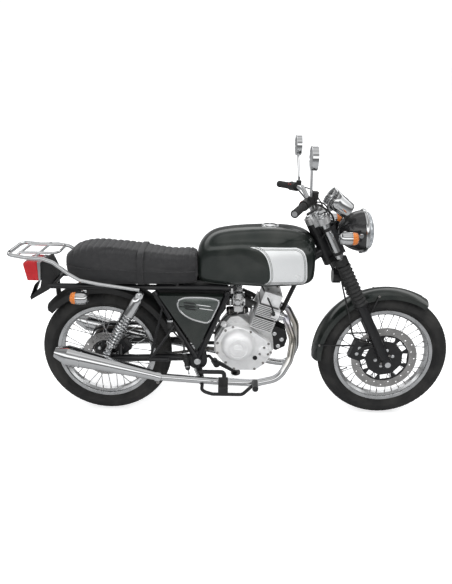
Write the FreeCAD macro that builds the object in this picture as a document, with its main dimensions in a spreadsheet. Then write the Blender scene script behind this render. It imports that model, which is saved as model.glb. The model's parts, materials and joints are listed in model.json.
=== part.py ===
import FreeCAD, Part
import math
import os
import re
from types import SimpleNamespace

import Sketcher

# A light road motorcycle, standing on its side stand and leaning to its left.
# Every piece is drawn on the upright machine, in millimetres: X ahead, Y to the
# rider's left, Z up, from the ground midway between the axles. The whole is
# then leaned over and set down with its box centred on the origin.

SIZES = {
    # stance
    "wheelbase": 1364, "lean_angle": 9, "rake_angle": 27, "yoke_offset": 45,
    "fit_gap": 0.3, "overrun": 20,
    # tyres and wire wheels
    "tyre_radius": 318.5, "tyre_crown": 52, "tyre_wall": 9, "rim_radius": 242,
    "rim_half_width": 31, "rim_lip": 4, "rim_wall": 4, "bead_radius": 230, "well_radius": 219,
    "well_half_width": 12, "spoke_radius": 1.8, "spoke_count": 36, "lacing_angle": 48,
    "axle_radius": 8,
    "hub_radius": 26, "hub_half_width": 34, "flange_radius": 46, "flange_wall": 6,
    "spoke_circle": 44,
    "front_disc_radius": 160, "rear_disc_radius": 112, "disc_band": 38, "disc_wall": 4.5,
    "disc_offset": 50, "carrier_windows": 9, "disc_holes": 24,
    "disc_hole_radius": 4,
    "sprocket_radius": 86, "sprocket_wall": 6, "sprocket_offset": 68,
    # fork, measured along it from the front axle
    "leg_spacing": 95, "slider_radius": 24, "slider_foot": 26, "slider_top": 325,
    "gaiter_radius": 33, "gaiter_groove": 6, "gaiter_folds": 11, "gaiter_top": 545,
    "fork_tube_radius": 18, "lower_yoke_at": 552, "yoke_height": 30, "upper_yoke_at": 762,
    "fork_top": 800, "stem_radius": 13, "head_tube_radius": 29,
    "headset_gap": 1,
    # front mudguard
    "front_guard_radius": 346, "front_guard_half_width": 60, "front_guard_crown": 18,
    "guard_wall": 3, "front_guard_front": 57, "front_guard_rear": 183, "front_guard_skirt": 22,
    # headlamp, clocks and indicators
    "lamp_behind": 136, "lamp_up": 946, "lamp_radius": 102, "lamp_depth": 132,
    "lamp_tilt": 4, "bracket_clamp": 14,
    "clock_behind": 310, "clock_up": 1100, "clock_spacing": 56, "clock_radius": 43,
    "clock_depth": 96, "clock_tilt": 36,
    "indicator_radius": 29, "indicator_length": 84, "indicator_stem": 7,
    "front_indicator_behind": 254, "front_indicator_up": 955, "front_indicator_spacing": 195,
    "rear_indicator_ahead": -762, "rear_indicator_up": 652, "rear_indicator_spacing": 165,
    # handlebar
    "bar_radius": 11, "riser_behind": 390, "riser_up": 1052, "riser_spacing": 45,
    "riser_radius": 14, "bar_rise": 62, "bar_bend_out": 150, "grip_behind": 514,
    "grip_up": 1096, "grip_end": 372, "grip_length": 122, "grip_radius": 17,
    "mirror_up": 1300, "mirror_radius": 48, "mirror_spacing": 275, "mirror_behind": 447,
    # tank
    "tank_rear": -230, "tank_length": 538, "tank_over_rails": 16, "tank_height": 264,
    "tank_half_width": 138, "tunnel_half_width": 40, "tunnel_height": 72,
    "tunnel_front_length": 150, "tunnel_front_height": 165, "cap_radius": 44,
    "cap_height": 12, "cap_ahead": 100,
    # seat
    "seat_rear": -842, "seat_length": 611, "seat_over_rails": 22, "seat_height": 166,
    "seat_half_width": 138,
    # frame
    "rail_radius": 13, "rail_spacing": 92, "rail_up": 684, "rail_rear": -905,
    "rail_front": -62, "rest_gap": 0.9, "spine_radius": 26, "pivot_ahead": -228, "pivot_up": 335,
    "cradle_spacing": 134, "cradle_radius": 14, "strut_top": -445, "mid_strut_top": -80,
    "pivot_plate": 46, "plate_wall": 8, "cradle_drop": 125,
    # engine
    "case_half_width": 92, "case_bottom": 266, "case_rear": -152, "case_length": 290,
    "case_height": 299, "cover_ahead": -37, "cover_up": 410, "cover_radius": 82,
    "cover_depth": 62, "cylinder_ahead": 62, "cylinder_up": 452, "cylinder_lean": 18,
    "cylinder_half_length": 54, "cylinder_half_width": 92, "cylinder_height": 66,
    "head_height": 60, "rocker_height": 62, "rocker_half_length": 44, "fin_pitch": 8.5,
    "fin_wall": 3, "fin_depth": 12, "cylinder_foot": 24,
    "carb_ahead": -38, "carb_up": 612, "carb_spacing": 60, "carb_radius": 25,
    "bowl_radius": 24, "bowl_drop": 58,
    # exhaust
    "port_spacing": 78, "pipe_radius": 17, "silencer_radius": 47, "silencer_spacing": 200,
    "silencer_front": -395, "silencer_length": 432, "silencer_rise": 106, "silencer_start_up": 277,
    "silencer_tail": 58, "outlet_radius": 24, "pipe_spacing": 163, "pipe_up": 232,
    # rear end
    "arm_radius": 17, "arm_spacing": 100, "shock_spacing": 138, "shock_top_ahead": -492,
    "shock_top_drop": 24, "shock_foot_lead": 27, "shock_foot_up": 374, "spring_radius": 27,
    "spring_groove": 7, "spring_coils": 10, "damper_radius": 17, "can_share": 0.33,
    "eye_radius": 17, "eye_width": 26,
    "rear_guard_radius": 366, "rear_guard_half_width": 72, "rear_guard_front": 22,
    "rear_guard_rear": 138, "rear_guard_crown": 20, "rear_guard_skirt": 26,
    "rack_radius": 9, "rack_half_width": 118, "rack_rear": -1092, "rack_up": 836,
    "tail_ahead": -958, "tail_up": 742, "tail_length": 84, "tail_half_width": 62,
    "tail_height": 92,
    # foot controls and stand
    "peg_ahead": -100, "peg_up": 262, "peg_radius": 15, "peg_inner": 192, "peg_length": 108,
    "hanger_radius": 6, "passenger_peg_ahead": -448, "passenger_peg_up": 352,
    "hanger_spacing": 168,
    "pedal_radius": 8, "pedal_pad": 14,
    "stand_pivot_ahead": -150, "stand_pivot_left": 140, "stand_pivot_up": 186,
    "stand_foot_ahead": -38, "stand_foot_left": 288, "stand_radius": 12, "foot_radius": 26,
    "foot_height": 9, "stand_boss": 18, "stand_yaw_share": 0.34,
    # brakes and horn
    "front_caliper_angle": 160, "rear_caliper_angle": 38, "caliper_gap": 5, "horn_radius": 36,
    # chain
    "chain_width": 12, "chain_depth": 11, "front_sprocket_radius": 38,
    "front_sprocket_ahead": -158, "front_sprocket_up": 345,
}

os.makedirs("parts", exist_ok=True)
doc = FreeCAD.newDocument("Motorcycle")
sheet = doc.addObject("Spreadsheet::Sheet", "Sizes")
for row, (name, value) in enumerate(SIZES.items(), 1):
    sheet.set(f"A{row}", name)
    sheet.set(f"B{row}", str(value))
    sheet.setAlias(f"B{row}", name)
doc.recompute()

mm = SimpleNamespace(**{name: float(sheet.get(name)) for name in SIZES})
V = FreeCAD.Vector
UP = V(0, 0, 1)
LEFT = V(0, 1, 0)
AHEAD = V(1, 0, 0)
SIDES = (-1, 1)
FULL_TURN = 360
pieces = {}

rake = math.radians(mm.rake_angle)
lean = math.radians(mm.lean_angle)
fork_up = V(-math.sin(rake), 0, math.cos(rake))
fork_ahead = V(math.cos(rake), 0, math.sin(rake))
tread_radius = mm.tyre_radius - mm.tyre_crown
axle_up = tread_radius + mm.tyre_crown / math.cos(lean)
front_axle = V(mm.wheelbase / 2, 0, axle_up)
rear_axle = V(-mm.wheelbase / 2, 0, axle_up)
tank_bottom = mm.rail_up + mm.tank_over_rails
seat_bottom = mm.rail_up + mm.seat_over_rails
shock_top_up = mm.rail_up - mm.shock_top_drop
lamp_ahead = front_axle.x - mm.lamp_behind
riser_ahead = front_axle.x - mm.riser_behind
ear_left = mm.leg_spacing + mm.fork_tube_radius / 2


def tied(formula):
    """Formula with every size in it named as a cell of the sheet."""
    word = r"\b[a-z]+(?:_[a-z]+)*\b"
    return re.sub(word, lambda name: f"Sizes.{name[0]}" if name[0] in SIZES else name[0], formula)


def bind(thing, **formulas):
    """Tie properties of an object to the sheet: names in a formula are sizes."""
    for prop, formula in formulas.items():
        thing.setExpression(prop, tied(formula))
    return thing


def value_of(formula):
    """Number that a formula of sizes gives."""
    result = sheet.evalExpression(tied(formula))
    return float(getattr(result, "Value", result))


def aim(start, direction):
    """Placement that puts local Z along a direction from a start point."""
    return FreeCAD.Placement(start, FreeCAD.Rotation(UP, direction))


def keep(node, thing):
    """Name a finished sub-part; its label is its node's name."""
    thing.Label = node
    pieces[node] = thing
    return thing


def rod(start, end, radius):
    """Round bar between two points, its radius tied to the sheet."""
    bar = doc.addObject("Part::Cylinder", "Rod")
    bind(bar, Radius=radius)
    bar.Height = (end - start).Length
    bar.Placement = aim(start, end - start)
    return bar


def ball(centre, radius):
    knob = doc.addObject("Part::Sphere", "Ball")
    bind(knob, Radius=radius)
    knob.Placement.Base = centre
    return knob


def cone(start, end, first, last):
    taper = doc.addObject("Part::Cone", "Cone")
    bind(taper, Radius1=first, Radius2=last)
    taper.Height = (end - start).Length
    taper.Placement = aim(start, end - start)
    return taper


def box(centre, length, width, height, turn=None):
    """Block about its centre, its three sizes tied to the sheet."""
    block = doc.addObject("Part::Box", "Block")
    bind(block, Length=length, Width=width, Height=height)
    doc.recompute([block])
    spin = turn or FreeCAD.Rotation()
    half = V(block.Length.Value, block.Width.Value, block.Height.Value) / 2
    block.Placement = FreeCAD.Placement(centre - spin.multVec(half), spin)
    return block


def shaped(shape):
    """Sub-part with a shape of its own, for curves that no primitive gives."""
    feature = doc.addObject("Part::Feature", "Shaped")
    feature.Shape = shape
    return feature


def joined(things):
    fuse = doc.addObject("Part::MultiFuse", "Joined")
    fuse.Refine = False
    fuse.Shapes = things
    return fuse


def together(things):
    """Like pieces of one node that do not touch."""
    group = doc.addObject("Part::Compound", "Together")
    group.Links = things
    return group


def less(base, tool):
    cut = doc.addObject("Part::Cut", "Less")
    cut.Base = base
    cut.Tool = tool
    return cut


def outline_body(outline):
    """Body with a sketch through points given as formulas of the sheet."""
    body = doc.addObject("PartDesign::Body", "Body")
    sketch = body.newObject("Sketcher::SketchObject", "Outline")
    plane = [face for face in body.Origin.OriginFeatures if face.Role == "XZ_Plane"][0]
    sketch.AttachmentSupport = [(plane, "")]
    sketch.MapMode = "FlatFace"
    count = len(outline)
    places = [V(*(value_of(formula) for formula in point), 0) for point in outline]
    for index in range(count):
        sketch.addGeometry(Part.LineSegment(places[index], places[(index + 1) % count]))
    for index in range(count):
        sketch.addConstraint(Sketcher.Constraint("Coincident", index, 2, (index + 1) % count, 1))
    for index, point in enumerate(outline):
        for kind, formula in zip(("DistanceX", "DistanceY"), point):
            place = value_of(formula)
            number = sketch.addConstraint(Sketcher.Constraint(kind, -1, 1, index, 1, place))
            bind(sketch, **{f"Constraints[{number}]": formula})
    return body, sketch


def turned(outline):
    """Solid turned about local Z, from an outline of radius and height."""
    body, sketch = outline_body(outline)
    spin = body.newObject("PartDesign::Revolution", "Turned")
    spin.Profile = sketch
    spin.ReferenceAxis = (sketch, ["V_Axis"])
    spin.Angle = FULL_TURN
    body.Tip = spin
    return body


def plate(outline, width):
    """Flat piece in the machine's side view, its width centred on local Y."""
    body, sketch = outline_body(outline)
    pad = body.newObject("PartDesign::Pad", "Plate")
    pad.Profile = sketch
    bind(pad, Length=width)
    pad.SideType = "Symmetric"
    body.Tip = pad
    return body


def arc(first, middle, last):
    return Part.Arc(first, middle, last).toShape()


def line(first, last):
    return Part.LineSegment(first, last).toShape()


def rounded_path(points, bend):
    """Wire of straight runs joined by tangent arcs of one bend radius."""
    share = 0.48
    edges = []
    start = points[0]
    for before, corner, after in zip(points, points[1:], points[2:]):
        into = (corner - before).normalize()
        out = (after - corner).normalize()
        half = into.getAngle(out) / 2
        shorter = min((corner - before).Length, (after - corner).Length)
        reach = min(bend * math.tan(half), share * shorter)
        radius = reach / math.tan(half)
        inward = (out - into).normalize()
        centre = corner + inward * (radius / math.cos(half))
        first = corner - into * reach
        last = corner + out * reach
        edges += [line(start, first), arc(first, centre - inward * radius, last)]
        start = last
    edges.append(line(start, points[-1]))
    return Part.Wire(edges)


def bent_tube(points, radius, bend):
    """Round tube swept along a bent path."""
    path = rounded_path(points, bend)
    ring = Part.Wire(Part.Circle(points[0], points[1] - points[0], radius).toShape())
    return shaped(path.makePipeShell([ring], True, False))


def lofted(loops):
    """Solid through closed section curves."""
    return Part.makeLoft(loops, True, False)


def turned_section(edges, centre, angle, start):
    """Section swept about the wheel's axle through an angle from a start angle."""
    face = Part.Face(Part.Wire(edges))
    face.rotate(centre, LEFT, -start)
    return face.revolve(centre, LEFT, -angle)


AXLE_TURN = FreeCAD.Rotation(AHEAD, -90)


def on_axle(thing, axle, left=0):
    """Set a turned piece, whose axis is local Z, on an axle that points left."""
    thing.Placement = FreeCAD.Placement(axle + LEFT * left, AXLE_TURN)
    return thing


# Wheels


def tyre(node, axle):
    """Round-crowned tyre with hollow casing, open at the rim."""
    wall = mm.tyre_wall
    side = mm.rim_half_width - mm.rim_lip - mm.fit_gap
    bead = mm.bead_radius + mm.fit_gap
    lip = mm.rim_radius + mm.fit_gap
    shoulder = mm.tyre_crown

    def at(radius, left):
        return axle + V(radius, left, 0)

    def bulge(inset):
        return (lip + tread_radius) / 2, shoulder - inset - (shoulder - side) / 6

    edges = []
    outside = [at(bead, side), at(lip, side), at(*bulge(0)), at(tread_radius, shoulder),
               at(tread_radius + shoulder, 0)]
    inside = [at(bead, side - wall), at(lip, side - wall), at(*bulge(wall)),
              at(tread_radius, shoulder - wall), at(tread_radius + shoulder - wall, 0)]

    def mirrored(point):
        return V(point.x, 2 * axle.y - point.y, point.z)

    edges.append(line(outside[0], outside[1]))
    edges.append(arc(outside[1], outside[2], outside[3]))
    edges.append(arc(outside[3], outside[4], mirrored(outside[3])))
    edges.append(arc(mirrored(outside[3]), mirrored(outside[2]), mirrored(outside[1])))
    edges.append(line(mirrored(outside[1]), mirrored(outside[0])))
    edges.append(line(mirrored(outside[0]), mirrored(inside[0])))
    edges.append(line(mirrored(inside[0]), mirrored(inside[1])))
    edges.append(arc(mirrored(inside[1]), mirrored(inside[2]), mirrored(inside[3])))
    edges.append(arc(mirrored(inside[3]), inside[4], inside[3]))
    edges.append(arc(inside[3], inside[2], inside[1]))
    edges.append(line(inside[1], inside[0]))
    edges.append(line(inside[0], outside[0]))
    keep(node, shaped(turned_section(edges, axle, FULL_TURN, 0)))


def rim():
    """Drop-centre rim, half profile mirrored about its middle."""
    half = [
        ("rim_radius", "rim_half_width"),
        ("rim_radius", "rim_half_width - rim_lip"),
        ("bead_radius", "rim_half_width - rim_lip"),
        ("bead_radius", "well_half_width + rim_wall"),
        ("well_radius", "well_half_width"),
    ]
    under = [
        ("well_radius - rim_wall", "well_half_width"),
        ("bead_radius - rim_wall", "well_half_width + 2 * rim_wall"),
        ("bead_radius - rim_wall", "rim_half_width"),
    ]
    outer = half + [(radius, f"-({width})") for radius, width in reversed(half)]
    inner = [(radius, f"-({width})") for radius, width in reversed(under)] + under
    return turned(outer + inner)


def spokes(axle):
    """Crossed wire spokes, headed at both faces of each hub flange."""
    bars = []
    count = int(mm.spoke_count)
    pitch = FULL_TURN / count
    flange = mm.hub_half_width - mm.flange_wall / 2
    face = mm.flange_wall / 2 + mm.spoke_radius + 3 * mm.fit_gap
    rim_end = mm.well_radius - mm.rim_wall - mm.fit_gap - mm.spoke_radius / 4
    for index in range(count):
        side = SIDES[index % 2]
        lead = SIDES[(index // 2) % 2]
        rim_angle = math.radians(index * pitch)
        hub_angle = rim_angle - lead * math.radians(mm.lacing_angle)
        head = V(mm.spoke_circle * math.cos(hub_angle), side * (flange + lead * face),
                 mm.spoke_circle * math.sin(hub_angle))
        end = V(rim_end * math.cos(rim_angle), side * mm.well_half_width / 2,
                rim_end * math.sin(rim_angle))
        bars.append(rod(axle + head, axle + end, "spoke_radius"))
    return bars


def wire_wheel(node, axle):
    keep(node, together([on_axle(rim(), axle)] + spokes(axle)))


def hub(axle):
    """Hub barrel with two spoke flanges, bored for its axle."""
    bore = "axle_radius + fit_gap"
    half = [
        (bore, "hub_half_width"),
        ("flange_radius", "hub_half_width"),
        ("flange_radius", "hub_half_width - flange_wall"),
        ("hub_radius", "hub_half_width - flange_wall"),
    ]
    return on_axle(turned(half + [(radius, f"-({width})") for radius, width in reversed(half)]), axle)


def disc_ring(axle, left, radius):
    """Brake disc: a flat ring drilled with two rows of holes."""
    ring = turned([
        (f"{radius} - disc_band", "-disc_wall / 2"),
        (radius, "-disc_wall / 2"),
        (radius, "disc_wall / 2"),
        (f"{radius} - disc_band", "disc_wall / 2"),
    ])
    on_axle(ring, axle, left)
    drills = []
    count = int(mm.disc_holes)
    for index in range(count):
        angle = math.radians(index * FULL_TURN / count)
        row_share = (0.32, 0.68)[index % 2]
        reach = value_of(radius) - mm.disc_band * row_share
        centre = axle + V(reach * math.cos(angle), left, reach * math.sin(angle))
        drills.append(rod(centre - LEFT * mm.disc_wall, centre + LEFT * mm.disc_wall,
                          "disc_hole_radius"))
    return less(ring, together(drills))


def carrier(axle, left, radius):
    """Plate from the hub to the inside of a brake disc, cut with a ring of windows."""
    edge = f"{radius} - disc_band - 3 * fit_gap"
    plate_ring = on_axle(turned([
        ("flange_radius / 2", "-disc_wall / 2"),
        (edge, "-disc_wall / 2"),
        (edge, "disc_wall / 2"),
        ("flange_radius / 2", "disc_wall / 2"),
    ]), axle, left)
    ring_share, reach_share, across_share = 0.83, 0.2, 0.44
    windows = []
    for index in range(int(mm.carrier_windows)):
        turn = FreeCAD.Rotation(LEFT, index * FULL_TURN / mm.carrier_windows)
        middle = axle + LEFT * left + turn.multVec(V(value_of(edge) * ring_share, 0, 0))
        windows.append(box(middle, f"({edge}) * {reach_share}", "disc_wall * 3",
                           f"({edge}) * {across_share}", turn))
    return [less(plate_ring, together(windows))]


def front_wheel():
    left = -mm.disc_offset
    tyre("front_tyre", front_axle)
    wire_wheel("front_wire_wheel", front_axle)
    keep("front_hub", joined([hub(front_axle)] + side_collar(front_axle, left)
                             + carrier(front_axle, left, "front_disc_radius")))
    keep("front_disc", disc_ring(front_axle, left, "front_disc_radius"))


def side_collar(axle, left):
    """Short sleeve between a hub flange and what bolts on beside it."""
    reach = math.copysign(1, left)
    start = axle + LEFT * reach * (mm.hub_half_width - mm.flange_wall)
    end = axle + LEFT * (left + reach * mm.disc_wall)
    sleeve = rod(start, end, "flange_radius * 3 / 4")
    bore = rod(start - LEFT * reach * mm.overrun, end + LEFT * reach * mm.overrun,
               "axle_radius + fit_gap")
    return [less(sleeve, bore)]


def rear_wheel():
    left = -mm.disc_offset
    tyre("rear_tyre", rear_axle)
    wire_wheel("rear_wire_wheel", rear_axle)
    keep("rear_hub", joined([hub(rear_axle)] + side_collar(rear_axle, left)
                            + side_collar(rear_axle, mm.sprocket_offset)
                            + carrier(rear_axle, left, "rear_disc_radius")
                            + [sprocket()]))
    keep("rear_disc", disc_ring(rear_axle, left, "rear_disc_radius"))


def sprocket():
    ring = turned([
        ("flange_radius / 2", "-sprocket_wall / 2"),
        ("sprocket_radius", "-sprocket_wall / 2"),
        ("sprocket_radius", "sprocket_wall / 2"),
        ("flange_radius / 2", "sprocket_wall / 2"),
    ])
    return on_axle(ring, rear_axle, mm.sprocket_offset)


# Fork, yokes and front mudguard


def fork_point(along, ahead=0, left=0):
    """Point in the fork's own directions from the front axle."""
    return front_axle + fork_up * along + fork_ahead * ahead + LEFT * left


def fork_rod(first, last, radius, left, ahead=0):
    return rod(fork_point(first, ahead, left), fork_point(last, ahead, left), radius)


def fork_sliders():
    legs = []
    for side in SIDES:
        left = side * mm.leg_spacing
        tube = fork_rod(-mm.slider_foot, mm.slider_top, "slider_radius", left)
        foot = rod(front_axle + LEFT * (left - mm.slider_radius),
                   front_axle + LEFT * (left + mm.slider_radius), "slider_foot")
        bore = rod(front_axle + LEFT * (left - mm.slider_radius - mm.overrun),
                   front_axle + LEFT * (left + mm.slider_radius + mm.overrun),
                   "axle_radius + fit_gap")
        legs.append(less(joined([tube, foot]), bore))
    keep("fork_sliders", together(legs))


def fork_tubes():
    keep("fork_tubes", together([
        fork_rod(mm.slider_top + mm.fit_gap, mm.fork_top, "fork_tube_radius",
                 side * mm.leg_spacing) for side in SIDES]))


def gaiters():
    """Bellows round each fork tube, folded in rings."""
    folds = int(mm.gaiter_folds)
    bore = "fork_tube_radius + fit_gap"
    length = "(gaiter_top - slider_top - 2 * fit_gap)"
    outline = [(bore, "fit_gap")]
    for index in range(2 * folds + 1):
        radius = "gaiter_radius - gaiter_groove" if index % 2 == 0 else "gaiter_radius"
        outline.append((radius, f"fit_gap + {length} * {index} / {2 * folds}"))
    outline.append((bore, f"fit_gap + {length}"))
    sleeves = []
    for side in SIDES:
        sleeve = turned(outline)
        sleeve.Placement = aim(fork_point(mm.slider_top, 0, side * mm.leg_spacing), fork_up)
        sleeves.append(sleeve)
    keep("gaiters", together(sleeves))


def yoke(along):
    """Clamp across both fork tubes and the steering stem."""
    turn = FreeCAD.Rotation(LEFT, -mm.rake_angle)
    middle = fork_point(along + mm.yoke_height / 2, -mm.yoke_offset / 2)
    bridge = box(middle, "yoke_offset", "2 * leg_spacing", "yoke_height", turn)
    top = along + mm.yoke_height
    rings = [fork_rod(along, top, "fork_tube_radius + slider_radius / 2", side * mm.leg_spacing)
             for side in SIDES]
    stem = fork_rod(along, top, "head_tube_radius", 0, -mm.yoke_offset)
    holes = [fork_rod(along - mm.overrun, top + mm.overrun, "fork_tube_radius + fit_gap",
                      side * mm.leg_spacing) for side in SIDES]
    return less(joined([bridge, stem] + rings), together(holes))


def yokes():
    stem = fork_rod(mm.lower_yoke_at, mm.upper_yoke_at + mm.yoke_height, "stem_radius",
                    0, -mm.yoke_offset)
    keep("yokes", joined([yoke(mm.lower_yoke_at), yoke(mm.upper_yoke_at), stem]))


def axle_bar(node, axle, hub_face, lug_inner, lug_outer):
    """Wheel axle with a spacer each side of the hub and a nut outside each lug."""
    end = lug_outer + mm.fit_gap + mm.axle_radius
    bars = [rod(axle - LEFT * end, axle + LEFT * end, "axle_radius")]
    for side in SIDES:
        out = LEFT * side
        bars.append(rod(axle + out * (hub_face + mm.headset_gap),
                        axle + out * (lug_inner - mm.fit_gap), "axle_radius * 7 / 4"))
        bars.append(rod(axle + out * (lug_outer + mm.fit_gap), axle + out * end,
                        "axle_radius * 7 / 4"))
    keep(node, joined(bars))


def guard_section(axle, radius, half_width, crown, skirt):
    """Crowned mudguard section with a straight skirt each side."""
    wall = mm.guard_wall

    def run(inset):
        side = half_width - inset
        top = radius - inset
        points = [axle + V(top - crown - skirt, -side, 0), axle + V(top - crown, -side, 0),
                  axle + V(top, 0, 0), axle + V(top - crown, side, 0),
                  axle + V(top - crown - skirt, side, 0)]
        return points

    outer, inner = run(0), run(wall)
    inner[0].x = outer[0].x
    inner[4].x = outer[4].x
    return [line(outer[0], outer[1]), arc(*outer[1:4]), line(outer[3], outer[4]),
            line(outer[4], inner[4]), line(inner[4], inner[3]), arc(*reversed(inner[1:4])),
            line(inner[1], inner[0]), line(inner[0], outer[0])]


def front_mudguard():
    section = guard_section(front_axle, mm.front_guard_radius + mm.guard_wall,
                            mm.front_guard_half_width, mm.front_guard_crown,
                            mm.front_guard_skirt)
    guard = shaped(turned_section(section, front_axle,
                                  mm.front_guard_rear - mm.front_guard_front,
                                  mm.front_guard_front))
    reach = mm.leg_spacing - mm.slider_radius - mm.fit_gap
    along = mm.front_guard_radius - mm.front_guard_crown - mm.front_guard_skirt / 2
    lugs = []
    for side in SIDES:
        inner = mm.front_guard_half_width - mm.guard_wall
        lugs.append(rod(fork_point(along, 0, side * inner), fork_point(along, 0, side * reach),
                        "axle_radius"))
    keep("front_mudguard", joined([guard] + lugs))


# Headlamp, clocks and indicators


def lathe(curve, start, direction):
    """Solid turned about a line, from a smooth run of (radius, height) points."""
    points = [V(radius, 0, height) for radius, height in curve]
    smooth = Part.BSplineCurve()
    smooth.interpolate(Points=points)
    first, last = points[0], points[-1]
    edges = [smooth.toShape()]
    if last.x > 0:
        edges.append(line(last, V(0, 0, last.z)))
    if first.x > 0:
        edges.append(line(V(0, 0, first.z), first))
    edges.append(line(V(0, 0, last.z), V(0, 0, first.z)))
    solid = Part.Face(Part.Wire(Part.__sortEdges__(edges))).revolve(V(), UP, FULL_TURN)
    if solid.Volume < 0:
        solid.reverse()
    thing = shaped(solid)
    thing.Placement = aim(start, direction)
    return thing


def tilted(angle):
    """Direction ahead, raised by an angle."""
    return V(math.cos(math.radians(angle)), 0, math.sin(math.radians(angle)))


def headlamp():
    """Bowl, chrome rim and bulged lens in one turned piece."""
    bowl_shares = [(0, 0), (0.4, 0.08), (0.65, 0.26), (0.81, 0.46), (0.91, 0.68), (0.94, 0.9)]
    rim_shares = [(1, 0.86), (1, 1)]
    glass_shares = [(0.9, 0.97), (0.8, 1.1), (0.42, 1.22), (0, 1.26)]
    facing = tilted(mm.lamp_tilt)
    back = V(lamp_ahead, 0, mm.lamp_up) - facing * mm.lamp_depth
    bowl = lathe([(r * mm.lamp_radius, z * mm.lamp_depth) for r, z in bowl_shares], back, facing)
    rim_back = back + facing * mm.lamp_depth * rim_shares[0][1]
    rim_front = back + facing * mm.lamp_depth * rim_shares[1][1]
    ring = rod(rim_back, rim_front, "lamp_radius")
    lens = lathe([(r * mm.lamp_radius, z * mm.lamp_depth) for r, z in glass_shares], back, facing)
    keep("headlamp", joined([bowl, ring, lens]))


def headlamp_brackets():
    """Stay each side, clamped ahead of the fork tube, with an ear and bolt to the bowl."""
    bolt_share = 0.937
    along = (mm.lower_yoke_at + mm.yoke_height + mm.upper_yoke_at) / 2
    half = mm.lamp_radius * 2 / 3
    lean_back = FreeCAD.Rotation(LEFT, -mm.rake_angle)
    ears = []
    for side in SIDES:
        left = side * mm.leg_spacing
        clamps = [fork_rod(low, low + mm.bracket_clamp, "fork_tube_radius + guard_wall + fit_gap",
                           left) for low in (along - half, along + half - mm.bracket_clamp)]
        start = fork_point(along, mm.fork_tube_radius + mm.stem_radius / 2, side * ear_left)
        stay = box(start, "stem_radius * 3 / 2", "guard_wall * 3 / 2", "lamp_radius * 4 / 3",
                   lean_back)
        end = V(lamp_ahead - mm.lamp_depth / 3, start.y, mm.lamp_up)
        turn = FreeCAD.Rotation(AHEAD, end - start)
        arm = doc.addObject("Part::Box", "Arm")
        bind(arm, Width="guard_wall", Height="lamp_radius / 2")
        arm.Length = (end - start).Length
        corner = V(arm.Length.Value, mm.guard_wall, mm.lamp_radius / 2) / 2
        arm.Placement = FreeCAD.Placement((start + end) / 2 - turn.multVec(corner), turn)
        bolt_start = V(end.x, side * mm.lamp_radius * bolt_share, end.z)
        bolt = rod(bolt_start, end + LEFT * side * mm.guard_wall, "axle_radius")
        bore = fork_rod(along - mm.lamp_radius, along + mm.lamp_radius,
                        "fork_tube_radius + fit_gap", left)
        ears.append(less(joined(clamps + [stay, arm, bolt]), bore))
    keep("headlamp_brackets", together(ears))


def clocks():
    """Two instrument cups with a bracket that joins them to the upper yoke."""
    facing = V(-math.cos(math.radians(mm.clock_tilt)), 0, math.sin(math.radians(mm.clock_tilt)))
    cup = [
        ("0", "0"), ("clock_radius * 4 / 5", "0"), ("clock_radius", "clock_depth / 5"),
        ("clock_radius", "clock_depth"), ("clock_radius * 9 / 10", "clock_depth"),
        ("clock_radius * 9 / 10", "clock_depth * 19 / 20"), ("0", "clock_depth * 19 / 20"),
    ]
    face = V(front_axle.x - mm.clock_behind, 0, mm.clock_up)
    cups = []
    for side in SIDES:
        dial = turned(cup)
        dial.Placement = aim(face - facing * mm.clock_depth + LEFT * side * mm.clock_spacing,
                             facing)
        cups.append(dial)
    low = face - facing * mm.clock_depth * 2 / 3
    bridge = rod(low - LEFT * mm.clock_spacing, low + LEFT * mm.clock_spacing, "bar_radius")
    foot = fork_point(mm.upper_yoke_at + mm.yoke_height + mm.fit_gap)
    post = bent_tube([foot, foot + fork_up * mm.clock_radius / 2, low], mm.bar_radius,
                     mm.clock_radius)
    keep("clocks", joined(cups + [bridge, post]))


def indicator(ahead, left, up, facing, root):
    """Cup and lens on a stem from its root."""
    cup_shares = [(0, 0), (0.55, 0.02), (0.9, 0.16), (1, 0.42), (1, 0.62), (0.95, 0.86),
                  (0.6, 0.98), (0, 1)]
    start = V(ahead, left, up) - facing * mm.indicator_length / 2
    lamp = lathe([(r * mm.indicator_radius, z * mm.indicator_length) for r, z in cup_shares],
                 start, facing)
    return joined([lamp, rod(V(ahead, left, up), root, "indicator_stem")])


def indicators():
    fronts, rears = [], []
    for side in SIDES:
        ahead, up = front_axle.x - mm.front_indicator_behind, mm.front_indicator_up
        ear = side * (ear_left + mm.guard_wall / 2 + mm.fit_gap)
        fronts.append(indicator(ahead, side * mm.front_indicator_spacing, up, AHEAD,
                                V(ahead, ear, up)))
        ahead, up = mm.rear_indicator_ahead, mm.rear_indicator_up
        root = V(ahead, side * (mm.rear_guard_half_width + mm.fit_gap), up)
        rears.append(indicator(ahead, side * mm.rear_indicator_spacing, up, -AHEAD, root))
    keep("front_indicators", together(fronts))
    keep("rear_indicators", together(rears))


# Handlebar and what it carries


def bar_point(side, share):
    """Point on the outer run of the handlebar, from its bend to its end."""
    bend = V(riser_ahead - mm.bar_bend_out / 5, side * mm.bar_bend_out,
             mm.riser_up + mm.bar_rise)
    end = V(front_axle.x - mm.grip_behind, side * mm.grip_end, mm.grip_up)
    return bend + (end - bend) * share


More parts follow.
